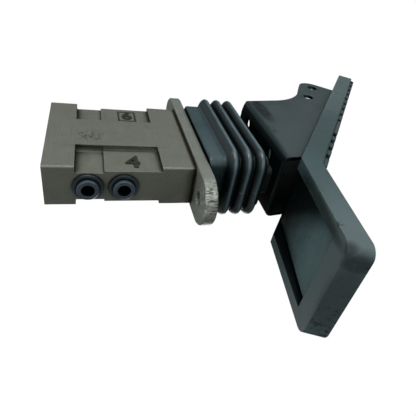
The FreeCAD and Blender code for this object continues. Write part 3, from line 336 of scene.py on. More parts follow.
@dataclass(frozen=True)
class Finish:
    """One real surface: what it is made of, how it was made and how it has aged.

    Colours are sRGB hex, and the depths of grain and marks are in hundredths of a millimetre. Grain and
    tool marks that are too fine to show are drawn as coarse as they need to be. Crevice is the share of
    painted shade that darkens gaps and hollows, and under the share of painted shade on faces that look down.
    """

    name: str
    colour: str
    cloud_colour: str
    edge_colour: str
    metallic: float = 0.0
    roughness: float = 0.5
    roughness_spread: float = 0.12
    specular: float = 0.5
    cloud_mm: float = 18.0
    grain_mm: float = 0.6
    grain_depth: float = 4.0
    mark_mm: float = 0.9
    mark_depth: float = 0.0
    mark_colour: float = 0.0
    lay: Lay = Lay.NONE
    edge_mm: float = 0.35
    edge_wear: float = 0.5
    smudge_colour: str = "101212"
    smudge_mm: float = 9.0
    smudge_amount: float = 0.0
    # Painted shade in gaps and hollows, and on faces that look down
    crevice: float = 0.0
    crevice_mm: float = 30.0
    crevice_open: tuple[float, float] = (0.3, 0.75)
    crevice_colour: str = "020404"
    under: float = 0.0
    under_turn: tuple[float, float] = (0.2, 0.7)
    patches: tuple[Patch, ...] = ()
    patch_edge: float = 0.2

    def build(self) -> bpy.types.Material:
        """Builds the material: colour, worn edges and dark places first, then gloss and relief.

        Returns:
            The finished node material.
        """
        paint = Paint(self.name)
        cloud = paint.add(Kind.NOISE, paint.place, per_mm(self.cloud_mm), *Noise.CLOUD.value)
        grain = paint.add(Kind.NOISE, paint.place, per_mm(self.grain_mm), *Noise.GRAIN.value)
        marks = self._marks(paint)
        colour = self.extra_colour(paint, self._clouded(paint, cloud, marks))
        if self.smudge_amount > 0:
            # The more smudges there are, the weaker the noise that already shows
            low = 0.66 - 0.2 * self.smudge_amount
            dirt = paint.islands(Noise.SMUDGE, self.smudge_mm, (low, low + SMUDGE_FADE))
            colour = paint.add(Kind.MIX, dirt, colour, linear(self.smudge_colour))
        rounded = paint.add(Kind.ROUND_EDGES, self.edge_mm * MM)
        colour = paint.add(Kind.MIX, self._edge(paint, rounded, grain), colour, linear(self.edge_colour))
        specular = self.specular
        # Painted shade in gaps and underneath, with the patches, darkens the colour and dulls the gloss
        if self.crevice > 0:
            shut = paint.add(Kind.LARGER, self._crevice(paint), self.grime(paint))
            colour = paint.add(Kind.MIX, shut, colour, linear(self.crevice_colour))
            specular = paint.add(Kind.SPREAD, shut, 0.0, 1.0, self.specular, GLOSS_UNDER_SHADE_AND_GRIME * self.specular)
        smooth, dull = self.roughness - self.roughness_spread, self.roughness + self.roughness_spread
        roughness = paint.add(Kind.SPREAD, cloud, *GLOSS_LEVELS, smooth, dull)
        relief = paint.add(Kind.RELIEF, grain, self.grain_depth * HUNDREDTH * MM, rounded)
        if marks is not None:
            relief = paint.add(Kind.RELIEF, marks, self.mark_depth * HUNDREDTH * MM, relief)
        relief = self.extra_relief(paint, relief)
        surface = paint.add(Kind.SURFACE, colour, self.metallic, roughness, specular, relief)
        paint.add(Kind.MATERIAL_END, surface)
        return paint.material

    def extra_colour(self, paint: Paint, colour: Socket) -> Socket:
        """Adds colour that only one finish has. The plain finish has none."""
        return colour

    def extra_relief(self, paint: Paint, relief: Socket) -> Socket:
        """Adds relief that only one finish has. The plain finish has none."""
        return relief

    def grime(self, paint: Paint) -> Value:
        """The darkest of the patches of dirt and painted shade at each point; they also take the gloss away.

        Args:
            paint: the material's tree.

        Returns:
            The share, or 0 where the finish has no patches.
        """
        film = 0.0
        for patch in self.patches:
            area = paint.near(patch.centre_mm, patch.reach_mm)
            levels = (patch.level, patch.level + self.patch_edge)
            broken = paint.islands(Noise.PATCH, patch.cell_mm, levels)
            film = paint.add(Kind.LARGER, film, paint.product(area, broken, patch.share))
        return film

    def _marks(self, paint: Paint) -> Socket | None:
        """Tool marks: noise drawn out along the way the tool went.

        Args:
            paint: the material's tree.

        Returns:
            The strength of the marks, or None where the finish has none.
        """
        if self.mark_depth == 0:
            return None
        drawn = paint.add(Kind.STRETCHED, paint.place, self.lay.value)
        return paint.add(Kind.NOISE, drawn, per_mm(self.mark_mm), *Noise.MARK.value)

    def _clouded(self, paint: Paint, cloud: Socket, marks: Socket | None) -> Socket:
        """The two main colours in clouds, darker in the tool marks.

        Args:
            paint: the material's tree.
            cloud: the large noise.
            marks: the tool marks, or None.

        Returns:
            The colour.
        """
        base = linear(self.colour)
        clouds = paint.add(Kind.RAMP, cloud, *CLOUD_LEVELS)
        colour = paint.add(Kind.MIX, clouds, base, linear(self.cloud_colour))
        if marks is None:
            return colour
        dark = tuple(channel * (1 - self.mark_colour) for channel in base[:3]) + (1.0,)
        return paint.add(Kind.MIX, paint.add(Kind.RAMP, marks, *MARK_LEVELS), colour, dark)

    def _edge(self, paint: Paint, rounded: Socket, grain: Socket) -> Value:
        """The worn edge: where the surface turns sharply, broken up by the grain.

        Args:
            paint: the material's tree.
            rounded: the normal with rounded edges.
            grain: the fine noise.

        Returns:
            The share of the worn edge.
        """
        straight = paint.add(Kind.DOT, rounded, paint.add(Kind.FACING))
        turned = paint.add(Kind.RAMP, paint.add(Kind.LESS, 1.0, straight), *EDGE_TURN)
        return paint.product(turned, paint.add(Kind.RAMP, grain, *WEAR_LEVELS), self.edge_wear)

    def _crevice(self, paint: Paint) -> Value:
        """How much painted shade darkens gaps and undersides.

        Args:
            paint: the material's tree.

        Returns:
            0 in the open, up to crevice in a gap and up to under on a face that looks down.
        """
        open_share = paint.add(Kind.RAMP, paint.add(Kind.OPENNESS, self.crevice_mm * MM), *self.crevice_open)
        shut = paint.product(paint.add(Kind.LESS, 1.0, open_share), self.crevice)
        if self.under == 0:
            return shut
        downward = paint.product(paint.add(Kind.Z_OF, paint.add(Kind.FACING)), -1.0)
        under = paint.product(paint.add(Kind.RAMP, downward, *self.under_turn), self.under)
        return paint.add(Kind.LARGER, shut, under)


@dataclass(frozen=True)
class MilledIron(Finish):
    """Milled cast iron of the housing: slanting cutter marks, an oily seam at the top and rust scratches."""

    hatch_colour: str = "45443a"
    hatch_share: float = 0.4
    hatch_mm: float = 2.4
    hatch_slant_deg: float = -42.0
    hatch_depth_mm: float = 0.05
    hatch_above_mm: tuple[float, float] = (-42.0, -25.0)
    # How far the lines wander, how many finer wanderings they have, and how fine those are
    hatch_wander: Triple = (1.2, 3.0, 2.0)
    hatch_levels: tuple[float, float] = (0.55, 0.95)
    end_face_levels: tuple[float, float] = (0.8, 0.95)
    seam_colour: str = "33261a"
    seam_mm: tuple[float, float] = (-2.6, -1.4)
    rust_colour: str = "3a2a20"
    rust_centre_mm: Triple = (6.0, -HOUSING_HALF_WIDTH_MM, -72.0)
    rust_reach_mm: Triple = (11.0, 3.0, 12.0)
    rust_mm: float = 2.4
    rust_levels: tuple[float, float] = (0.52, 0.57)

    def extra_colour(self, paint: Paint, colour: Socket) -> Socket:
        """Adds cutter marks on the end faces, the oil line under the flange and a few rust scratches.

        Args:
            paint: the material's tree.
            colour: the iron's colour.

        Returns:
            The colour with them.
        """
        hatch = paint.product(self._hatch(paint), self.hatch_share)
        colour = paint.add(Kind.MIX, hatch, colour, linear(self.hatch_colour))
        low, high = self.seam_mm
        seam = paint.add(Kind.RAMP, paint.add(Kind.Z_OF, paint.place), low * MM, high * MM)
        colour = paint.add(Kind.MIX, seam, colour, linear(self.seam_colour))
        speck = paint.islands(Noise.SPECK, self.rust_mm, self.rust_levels)
        rust = paint.product(paint.near(self.rust_centre_mm, self.rust_reach_mm), speck)
        return paint.add(Kind.MIX, rust, colour, linear(self.rust_colour))

    def extra_relief(self, paint: Paint, relief: Socket) -> Socket:
        """Adds the relief of the cutter marks."""
        return paint.add(Kind.RELIEF, self._hatch(paint), self.hatch_depth_mm * MM, relief)

    def _hatch(self, paint: Paint) -> Value:
        """Parallel slanting lines, only on faces that look along X and above the ports.

        Args:
            paint: the material's tree.

        Returns:
            The share of the lines.
        """
        turned = paint.add(Kind.TURNED, paint.place, (math.radians(self.hatch_slant_deg), 0.0, 0.0))
        # At this scale a line and its gap are hatch_mm wide
        scale = 2 * math.pi / (WAVE_RADIANS * self.hatch_mm * MM)
        wave = paint.add(Kind.WAVE, turned, scale, *self.hatch_wander)
        line = paint.add(Kind.RAMP, wave, *self.hatch_levels)
        endward = paint.add(Kind.UNSIGNED, paint.add(Kind.X_OF, paint.add(Kind.FACING)))
        end_face = paint.add(Kind.RAMP, endward, *self.end_face_levels)
        low, high = self.hatch_above_mm
        upper = paint.add(Kind.RAMP, paint.add(Kind.Z_OF, paint.place), low * MM, high * MM)
        return paint.product(line, paint.product(end_face, upper))


@dataclass(frozen=True)
class ScuffedIron(Finish):
    """The flange: machined iron, rubbed bright on its heel lobe, with short dark strokes over its rim."""

    lobe_centre_mm: Triple = (76.0, -8.0, 5.0)
    lobe_reach_mm: Triple = (17.0, 17.0, 14.0)
    rub_colour: str = "b4b8b1"
    rub_share: float = 0.7
    rub_mm: float = 4.5
    rub_levels: tuple[float, float] = (0.42, 0.62)
    stroke_colour: str = "2e3029"
    stroke_share: float = 0.85
    stroke_mm: float = 1.3
    stroke_levels: tuple[float, float] = (0.55, 0.62)
    stroke_drawn: Triple = (1.0, 1.0, 0.2)

    def extra_colour(self, paint: Paint, colour: Socket) -> Socket:
        """Adds the bright rubbed metal and the strokes, drawn out up the rim.

        Args:
            paint: the material's tree.
            colour: the iron's colour.

        Returns:
            The colour with them.
        """
        lobe = paint.near(self.lobe_centre_mm, self.lobe_reach_mm)
        bright = paint.islands(Noise.RUB, self.rub_mm, self.rub_levels)
        rub = paint.product(lobe, bright, self.rub_share)
        colour = paint.add(Kind.MIX, rub, colour, linear(self.rub_colour))
        drawn = paint.add(Kind.STRETCHED, paint.place, self.stroke_drawn)
        strokes = paint.islands(Noise.STROKE, self.stroke_mm, self.stroke_levels, drawn)
        stroke = paint.product(lobe, strokes, self.stroke_share)
        return paint.add(Kind.MIX, stroke, colour, linear(self.stroke_colour))


@dataclass(frozen=True)
class MouldedBellows(Finish):
    """Moulded rubber with painted highlights along the rib crests, painted shade on the flanks and the
    parting line of its two mould halves.

    The levels of crest, shoulder and flank say how far up a rib each starts and is full.
    """

    # Painted highlight along the rib crests and painted shade on the flanks
    crest_colour: str = "5d6f78"
    crest_share: float = 0.4
    crest_levels: tuple[float, float] = (0.94, 0.995)
    shoulder_levels: tuple[float, float] = (0.86, 0.99)
    flank_colour: str = "0c1316"
    flank_share: float = 0.78
    flank_levels: tuple[float, float] = (0.02, 0.3)
    rubbed_mm: float = 6.0
    rubbed_levels: tuple[float, float] = (0.2, 0.5)
    parting_y_mm: float = 2.5
    parting_mm: tuple[float, float] = (0.1, 0.45)
    parting_height_mm: float = 0.3

    def extra_colour(self, paint: Paint, colour: Socket) -> Socket:
        """Adds a painted highlight, broken up by noise, on each rib's crest and painted shade on its flanks.

        Args:
            paint: the material's tree.
            colour: the rubber's colour.

        Returns:
            The colour with both.
        """
        rise = paint.add(Kind.RIB_RISE)
        below_crest = paint.add(Kind.LESS, 1.0, paint.add(Kind.RAMP, rise, *self.shoulder_levels))
        above_valley = paint.add(Kind.RAMP, rise, *self.flank_levels)
        flank = paint.product(above_valley, below_crest, self.flank_share)
        colour = paint.add(Kind.MIX, flank, colour, linear(self.flank_colour))
        painted_light = paint.islands(Noise.MARK, self.rubbed_mm, self.rubbed_levels)
        crest = paint.product(paint.add(Kind.RAMP, rise, *self.crest_levels), painted_light, self.crest_share)
        return paint.add(Kind.MIX, crest, colour, linear(self.crest_colour))

    def extra_relief(self, paint: Paint, relief: Socket) -> Socket:
        """Adds the low ridge of the parting line.

        Args:
            paint: the material's tree.
            relief: the normal so far.

        Returns:
            The normal with the ridge.
        """
        beside = paint.add(Kind.LESS, paint.add(Kind.Y_OF, paint.place), self.parting_y_mm * MM)
        low, high = self.parting_mm
        off = paint.add(Kind.RAMP, paint.add(Kind.UNSIGNED, beside), low * MM, high * MM)
        ridge = paint.add(Kind.LESS, 1.0, off)
        return paint.add(Kind.RELIEF, ridge, self.parting_height_mm * MM, relief)


@dataclass(frozen=True)
class ShadowedPlate(Finish):
    """Satin paint on the treads' plate, with a painted shadow that runs out slantwise from the bracket."""

    film_share: float = 0.97
    film_mm: tuple[float, float] = (6.0, 27.0)
    film_way: Triple = (0.655, 0.755, 0.0)
    heel_mm: tuple[float, float] = (55.0, 65.0)

    def grime(self, paint: Paint) -> Value:
        """The painted shadow: dark near the treads' corner, gone past a slanting line across the heel leg.

        Args:
            paint: the material's tree.

        Returns:
            The share of the painted shadow.
        """
        along = paint.add(Kind.DOT, paint.place, self.film_way)
        from_corner = paint.add(Kind.LESS, along, self.film_way[0] * TREAD_CORNER_X_MM * MM)
        low, high = self.film_mm
        unshadowed = paint.add(Kind.RAMP, from_corner, low * MM, high * MM)
        low, high = self.heel_mm
        is_heel = paint.add(Kind.RAMP, paint.add(Kind.X_OF, paint.place), low * MM, high * MM)
        return paint.product(paint.add(Kind.LESS, 1.0, unshadowed), is_heel, self.film_share)


@dataclass(frozen=True)
class ScuffedRubber(Finish):
    """Moulded tread rubber, with painted light that makes it paler towards its two ends."""

    # How much painted light pales the heel end and the toe end
    heel_rub: float = 0.4
    heel_mm: tuple[float, float] = (10.0, 80.0)
    toe_rub: float = 0.25
    toe_mm: tuple[float, float] = (60.0, 140.0)

    def extra_colour(self, paint: Paint, colour: Socket) -> Socket:
        """Adds painted light at both ends in the worn edges' colour, by the distance from the treads' corner.

        Args:
            paint: the material's tree.
            colour: the rubber's colour.

        Returns:
            The colour with them.
        """
        heelward = paint.add(Kind.LESS, paint.add(Kind.X_OF, paint.place), TREAD_CORNER_X_MM * MM)
        low, high = self.heel_mm
        heel = paint.add(Kind.RAMP, heelward, low * MM, high * MM)
        low, high = self.toe_mm
        toe = paint.add(Kind.RAMP, paint.product(heelward, -1.0), low * MM, high * MM)
        painted_light = paint.add(Kind.ADD, paint.product(heel, self.heel_rub), paint.product(toe, self.toe_rub))
        return paint.add(Kind.MIX, painted_light, colour, linear(self.edge_colour))


@dataclass(frozen=True)
class ValveFinishes:
    """Every finish of the valve, each under the name of the model's material slot that it dresses."""

    # Milled grey cast iron, oiled: warm olive grey, fine lay along the length, slightly lighter edges
    cast_housing: Finish = MilledIron(
        "milled_cast_iron", "6b6f66", "5d6056", "8c8e84", metallic=0.4, roughness=0.54,
        grain_mm=0.7, grain_depth=2.5, mark_mm=0.8, mark_depth=1.6, mark_colour=0.16, lay=Lay.ALONG_X,
        # Painted shade in its gaps and, by the patch, on the wall of the side pocket
        edge_mm=0.5, edge_wear=0.75, cloud_mm=26.0, crevice=0.94, crevice_mm=12.0, crevice_open=(0.56, 0.9),
        crevice_colour="1a1912",
        patches=(Patch((21.2, -13.2, -53.0), (2.6, 4.0, 60.0), 9.0, 0.0, 0.85),),
    )
    # As-cast numerals on the housing: the same iron, painted darker as painted shade round their relief
    cast_number: Finish = Finish(
        "cast_numeral_iron", "2e2e29", "22221e", "5c5c53", metallic=0.4, roughness=0.6,
        grain_mm=0.5, cloud_mm=4.0, edge_mm=0.2, edge_wear=0.8,
    )
    # Machined and phosphated iron plate: lighter, greener, matt
    flange_iron: Finish = ScuffedIron(
        "phosphated_iron", "757b74", "666b65", "a3a8a0", metallic=0.4,
        grain_mm=0.8, grain_depth=3.0, mark_mm=0.7, mark_depth=1.2, mark_colour=0.12, lay=Lay.ALONG_Y,
        # Painted shade in its gaps
        edge_mm=0.9, edge_wear=0.95, cloud_mm=16.0, crevice=0.9, crevice_mm=8.0, crevice_open=(0.5, 0.92),
        crevice_colour="14130e",
    )
    # Zinc-plated steel fasteners: pale, slightly blue, soft gloss
    zinc_screw: Finish = Finish(
        "zinc_plated_steel", "a9adb0", "8f9498", "c9ccce", metallic=1.0, roughness=0.34,
        grain_mm=0.4, grain_depth=1.0, cloud_mm=5.0, edge_mm=0.2,
    )
    # Hardened and ground steel: clean, very fine marks, a high gloss
    ground_steel: Finish = Finish(
        "ground_steel", "9c9fa1", "8a8d90", "c2c4c6", metallic=1.0, roughness=0.24, roughness_spread=0.06,
        grain_mm=0.3, grain_depth=0.5, mark_mm=0.3, mark_depth=0.6, mark_colour=0.1,
        cloud_mm=9.0, edge_mm=0.2,
    )
    # Drawn spring wire: dark grey with an oily film
    spring_steel: Finish = Finish(
        "drawn_spring_wire", "5c5d5f", "46474a", "8a8b8d", metallic=1.0, roughness=0.38,
        grain_mm=0.5, grain_depth=1.0, cloud_mm=4.0, edge_mm=0.15,
    )
    # Turned steel bush: fine marks and a satin gloss
    bush_steel: Finish = Finish(
        "turned_steel", "8a8b89", "787977", "b2b3b1", metallic=1.0, roughness=0.36,
        grain_mm=0.4, grain_depth=0.8, mark_mm=0.4, mark_depth=0.8, mark_colour=0.1,
        cloud_mm=7.0, edge_mm=0.25,
    )
    # Turned bearing bronze: warm yellow brown, dull where oil has dried
    bronze: Finish = Finish(
        "turned_bronze", "a98447", "8a6a38", "c9a766", metallic=1.0, roughness=0.36,
        grain_mm=0.4, grain_depth=0.8, mark_mm=0.4, mark_depth=0.8, mark_colour=0.1,
        cloud_mm=6.0, edge_mm=0.2,
    )
    # Cast lever with black oxide: rough sand-cast skin, nearly black
    lever_iron: Finish = Finish(
        "blackened_cast_iron", "25282a", "1b1e20", "4b4f51", metallic=0.6, roughness=0.56,
        grain_mm=0.9, grain_depth=9.0, cloud_mm=12.0, edge_mm=0.5, edge_wear=0.6,
    )
    # Moulded nitrile rubber: blue grey, satin, painted shade in its folds, painted highlights on its crests
    bellows_rubber: Finish = MouldedBellows(
        "moulded_nitrile_rubber", "283a3d", "304246", "46575d", roughness=0.38, roughness_spread=0.08,
        grain_mm=0.5, grain_depth=1.2, cloud_mm=22.0, edge_mm=0.5, edge_wear=0.35, specular=0.42,
        crevice=0.97, crevice_mm=34.0, crevice_open=(0.45, 0.94),
    )
    # Moulded seal rubber: black and smooth
    seal_rubber: Finish = Finish(
        "moulded_seal_rubber", "141516", "1b1d1e", "2a2c2d", roughness=0.4,
        grain_mm=0.5, grain_depth=1.0, cloud_mm=5.0, edge_mm=0.2, edge_wear=0.2,
    )
    # Satin paint over sheet steel: black green, fine orange peel, rubbed edges and handling smears
    bracket_paint: Finish = Finish(
        "satin_black_green_paint", "253234", "2b3a3c", "4e5859", roughness=0.46, roughness_spread=0.1,
        grain_mm=1.4, grain_depth=1.2, cloud_mm=24.0, edge_mm=0.5, edge_wear=0.55, specular=0.25,
        smudge_colour="182122", smudge_mm=14.0, smudge_amount=0.3,
        # Painted shade in its gaps and on faces that look down
        crevice=0.98, crevice_mm=35.0, crevice_open=(0.42, 0.68), under=0.96,
        patches=(
            Patch((-34.0, -28.0, 78.0), (34.0, 6.0, 9.0), 7.0, 0.3, 0.7),
            Patch((4.0, -28.0, 72.0), (13.0, 6.0, 5.0), 4.0, 0.42, 0.7),
            # Painted shade along the bend between web and base
            Patch((-25.0, -28.0, 67.0), (110.0, 5.0, 6.0), 8.0, 0.15, 0.55),
        ),
    )
    # The same paint on the treads' steel plate, painted lighter as painted light, with a painted shadow
    plate_paint: Finish = ShadowedPlate(
        "satin_paint_on_plate", "486163", "425a5c", "6d7e7f", roughness_spread=0.1,
        grain_mm=1.4, grain_depth=1.2, cloud_mm=30.0, edge_mm=0.5, edge_wear=0.4, specular=0.3,
        smudge_colour="24312f", smudge_mm=18.0, smudge_amount=0.2,
        # Painted shade in its gaps
        crevice=0.98, crevice_mm=70.0, crevice_open=(0.66, 0.97),
    )
    # Moulded rubber of the treads: fine sandblasted mould grain, scuffed corners with dark rub marks
    cover_rubber: Finish = ScuffedRubber(
        "moulded_tread_rubber", "334446", "3a4b4d", "667173", roughness_spread=0.1,
        grain_mm=0.7, grain_depth=3.5, cloud_mm=20.0, edge_mm=0.9, edge_wear=0.6, specular=0.14,
        smudge_colour="222b2b", smudge_mm=11.0, smudge_amount=0.2,
        # Painted shade in its gaps and on faces that look down
        crevice=0.98, crevice_mm=70.0, crevice_open=(0.5, 0.88), under=0.13,
        patches=(
            Patch((100.0, -32.0, 61.0), (42.0, 7.0, 13.0), 2.6, 0.4, 0.85),
            # Painted shade along the underside of the -Y rim
            Patch((110.0, -31.0, 59.0), (62.0, 7.5, 18.0), 9.0, 0.1, 0.7),
            Patch((158.0, -27.0, 60.0), (10.0, 11.0, 15.0), 3.4, 0.24, 0.6),
            Patch((155.0, -35.0, 53.0), (8.0, 9.0, 9.0), 5.0, 0.22, 0.6),
            Patch((159.0, 18.0, 60.0), (12.0, 40.0, 14.0), 4.4, 0.42, 0.75),
            # Darker over the whole heel end face
            Patch((158.0, 2.0, 60.0), (12.0, 44.0, 18.0), 12.0, 0.1, 0.46),
            # Painted shade over the middle of the treads' -Y side
            Patch((30.0, -37.6, 106.0), (70.0, 8.0, 60.0), 26.0, 0.1, 0.16),
        ),
    )
    # Moulded rubber of the studded pad: as the treads, with painted shade between the studs
    pad_rubber: Finish = Finish(
        "moulded_stud_rubber", "2d3a3c", "343f41", "606b6d", grain_depth=3.0, cloud_mm=12.0, edge_mm=0.5,
        specular=0.25, smudge_colour="1a2122", smudge_mm=8.0, smudge_amount=0.2,
        crevice=0.98, crevice_mm=7.0, crevice_open=(0.5, 0.92),
    )
    # Moulded polyethylene plugs: dark slate, satin, a little waxy
    plug_plastic: Finish = Finish(
        "moulded_plug_plastic", "313d45", "38464e", "5b676e", roughness=0.38, roughness_spread=0.06,
        grain_mm=0.5, grain_depth=1.0, cloud_mm=7.0,
        # Painted shade in their recesses
        crevice=0.98, crevice_mm=12.0, crevice_open=(0.5, 0.96),
    )


class FinishShop:
    """Builds each material once and dresses pieces in it."""

    def __init__(self, finishes: ValveFinishes) -> None:
        """Keeps the finishes and an empty store of materials."""
        self.finishes = finishes
        self.made: dict[str, bpy.types.Material] = {}

    def material(self, name: str) -> bpy.types.Material:
        """The material of the finish of that name, built the first time it is asked for."""
        if name not in self.made:
            self.made[name] = getattr(self.finishes, name).build()
        return self.made[name]

    def dress(self, piece: bpy.types.Object, name: str) -> None:
        """Gives a piece one material on all its slots.

        Args:
            piece: the mesh object.
            name: the finish's name.
        """
        if not piece.material_slots:
            piece.data.materials.append(None)
        for slot in piece.material_slots:
            slot.material = self.material(name)

    def dress_nodes(self, frame: dict[str, Any]) -> None:
        """Dresses every node of the model by the slot that the record gives it.
        """
        for row in frame["record"]["subparts"]:
            slot = row["material_slot"]
            self.dress(frame["nodes"][row["node"]], slot)
            LOG.info("node %s wears %s", row["node"], getattr(self.finishes, slot).name)


def mesh_object(name: str, points: list[Vector], faces: list[tuple[int, ...]]) -> bpy.types.Object:
    """Makes a mesh object at the origin.

    Args:
        name: the piece's name.
        points: its vertices in metres.
        faces: its faces as tuples of vertex numbers.

    Returns:
        The linked object.
    """
    mesh = bpy.data.meshes.new(name)
    mesh.from_pydata([tuple(point) for point in points], [], faces)
    mesh.validate()
    piece = bpy.data.objects.new(name, mesh)
    bpy.context.scene.collection.objects.link(piece)
    return piece


class ShapeTree(Tree):
    """A geometry tree with named inputs, whose result becomes a piece's plain mesh."""

    def __init__(self, name: str, sizes: dict[str, float], counts: dict[str, int]) -> None:
        """Makes the inputs: a geometry, named sizes and counts, and a material.

        Args:
            name: the tree's name.
            sizes: its lengths in metres and its numbers of turns, by input name.
            counts: its whole numbers, by input name.
        """
        super().__init__(bpy.data.node_groups.new(name, "GeometryNodeTree"))
        self.values = sizes | counts
        face = self.tree.interface
        face.new_socket("Geometry", in_out="INPUT", socket_type="NodeSocketGeometry")
        for socket_type, rows in (("NodeSocketFloat", sizes), ("NodeSocketInt", counts)):
            for label, value in rows.items():
                face.new_socket(label, in_out="INPUT", socket_type=socket_type).default_value = value
        face.new_socket("Material", in_out="INPUT", socket_type="NodeSocketMaterial")
        face.new_socket("Geometry", in_out="OUTPUT", socket_type="NodeSocketGeometry")
        self.given = self.add(Kind.GIVEN).node.outputs

    def finish(self, shape: Socket) -> None:
        """Ends the tree in Realize Instances and Set Material, given the finished shape."""
        dressed = self.add(Kind.DRESSED, self.add(Kind.MADE_REAL, shape), self.given["Material"])
        self.add(Kind.GEOMETRY_END, dressed)

    def run(self, piece: bpy.types.Object, material: bpy.types.Material, smooth: bool = False) -> None:
        """Runs the tree on a piece and keeps the result as its plain mesh, with no modifier.

        Args:
            piece: the object whose geometry goes in.
            material: what the result wears.
            smooth: whether its faces are shaded smoothly.
        """
        modifier = piece.modifiers.new("maker", "NODES")
        modifier.node_group = self.tree
        values = self.values | {"Material": material}
        for item in self.tree.interface.items_tree:
            if item.name in values:
                modifier[item.identifier] = values[item.name]
        bpy.context.view_layer.update()
        graph = bpy.context.evaluated_depsgraph_get()
        result = bpy.data.meshes.new_from_object(piece.evaluated_get(graph))
        piece.modifiers.remove(modifier)
        piece.data = result
        result.name = piece.name
        if smooth:
            for face in result.polygons:
                face.use_smooth = True


@dataclass
class Bellows:
    """The rubber boot: a plain wall round a rectangle, whose ribs a geometry tree then raises."""

    half_x_mm: float = 48.3
    half_y_mm: float = 22.3
    corner_mm: float = 6.5
    least_corner_mm: float = 0.4
    wall_mm: float = 2.2
    lip_mm: float = 2.4
    rim_mm: float = 0.6
    base_z_mm: float = 9.6
    top_z_mm: float = 55.9
    # Half sizes of the grooves that hold the boot, on the rocker's head and on the flange's rim
    head_groove_mm: tuple[float, float] = (40.1, 8.6)
    flange_groove_mm: tuple[float, float] = (42.9, 16.9)
    lip_fit_mm: float = 0.3
    first_rib_z_mm: float = 26.9
    rib_pitch_mm: float = 10.7
    rib_count: int = 3
    rib_height_mm: float = 7.0
    # The power that makes a rib's crest rounder than a plain wave
    rib_roundness: float = 0.72
    # How far inside the wall's inner face the ribs' push already starts, so that only the lips stay still
    push_margin_mm: float = 0.3
    wall_rows: int = 56
    corner_steps: int = 8

    def loop(self, half_x: float, half_y: float, z: float) -> list[Vector]:
        """One row of points round a rectangle with round corners.

        Args:
            half_x: half its length in millimetres.
            half_y: half its width.
            z: its height.

        Returns:
            The points in metres.
        """
        corner = max(self.least_corner_mm, self.corner_mm - (self.half_x_mm - half_x))
        found = []
        for sign_x, sign_y, start in ((1, 1, 0), (-1, 1, 90), (-1, -1, 180), (1, -1, 270)):
            for step in range(self.corner_steps + 1):
                angle = math.radians(start + 90 * step / self.corner_steps)
                x = sign_x * (half_x - corner) + corner * math.cos(angle)
                y = sign_y * (half_y - corner) + corner * math.sin(angle)
                found.append(Vector((x, y, z)) * MM)
        return found

    def sections(self) -> list[Triple]:
        """The wall's closed section: up the outside, in over the top lip and down the inside.

        Returns:
            Half length, half width and height of each row, in millimetres.
        """
        span = self.top_z_mm - self.base_z_mm
        chamfered = (self.half_x_mm - self.rim_mm, self.half_y_mm - self.rim_mm)
        inside = (self.half_x_mm - self.wall_mm, self.half_y_mm - self.wall_mm)
        top = tuple(half + self.lip_fit_mm for half in self.head_groove_mm)
        base = tuple(half + self.lip_fit_mm for half in self.flange_groove_mm)
        low = self.base_z_mm + self.lip_mm
        outer = [chamfered + (self.base_z_mm,)]
        inner = []
        for row in range(self.wall_rows + 1):
            up = self.base_z_mm + self.rim_mm + (span - 2 * self.rim_mm) * row / self.wall_rows
            down = self.top_z_mm - self.lip_mm - (span - 2 * self.lip_mm) * row / self.wall_rows
            outer.append((self.half_x_mm, self.half_y_mm, up))
            inner.append(inside + (max(low, down),))
        outer.append(chamfered + (self.top_z_mm,))
        lips = [top + (self.top_z_mm,), top + (self.top_z_mm - self.lip_mm,)]
        return outer + lips + inner + [base + (low,), base + (self.base_z_mm,)]

    def rib_tree(self) -> ShapeTree:
        """The tree that pushes the wall outwards in evenly spaced round ribs.

        Returns:
            The tree, ready to run on the plain wall.
        """
        shape = ShapeTree(
            "raise_ribs",
            {
                "First rib": self.first_rib_z_mm * MM, "Pitch": self.rib_pitch_mm * MM,
                "Rib height": self.rib_height_mm * MM,
                "Core X": (self.half_x_mm - self.corner_mm) * MM,
                "Core Y": (self.half_y_mm - self.corner_mm) * MM,
                "Wall from": (self.corner_mm - self.wall_mm - self.push_margin_mm) * MM,
            },
            {"Ribs": self.rib_count},
        )
        given = shape.given
        place = shape.add(Kind.POSITION)
        above_first = shape.add(Kind.LESS, shape.add(Kind.Z_OF, place), given["First rib"])
        phase = shape.add(Kind.OVER, above_first, given["Pitch"])
        last = shape.add(Kind.LESS, given["Ribs"], 1)
        nearest = shape.add(Kind.LARGER, shape.add(Kind.ROUND, phase), 0.0)
        held = shape.add(Kind.SMALLER, nearest, last)
        away = shape.add(Kind.UNSIGNED, shape.add(Kind.LESS, phase, held))
        # Further than half a pitch from the nearest rib, the wall stays where it is
        turn = shape.add(Kind.TIMES, shape.add(Kind.SMALLER, away, 0.5), math.pi)
        wave = shape.add(Kind.LARGER, shape.add(Kind.COSINE, turn), 0.0)
        full = shape.add(Kind.POWER, wave, self.rib_roundness)
        # Each point moves straight away from a core rectangle, so that the ribs stay round at the corners
        flat = shape.add(Kind.VECTOR_TIMES, place, (1.0, 1.0, 0.0))
        core = shape.add(Kind.POINT, given["Core X"], given["Core Y"])
        opposite = shape.add(Kind.VECTOR_TIMES, core, (-1.0, -1.0, 0.0))
        inside = shape.add(Kind.VECTOR_LARGER, shape.add(Kind.VECTOR_SMALLER, flat, core), opposite)
        out = shape.add(Kind.VECTOR_LESS, flat, inside)
        is_wall = shape.add(Kind.IS_MORE, shape.add(Kind.LENGTH, out), given["Wall from"])
        rise = shape.product(full, given["Rib height"], is_wall)
        move = shape.add(Kind.SCALED, shape.add(Kind.DIRECTION, out), rise)
        noted = shape.add(Kind.NOTED, given["Geometry"], RIB_ATTRIBUTE, full)
        shape.finish(shape.add(Kind.SHIFTED, noted, move))
        return shape

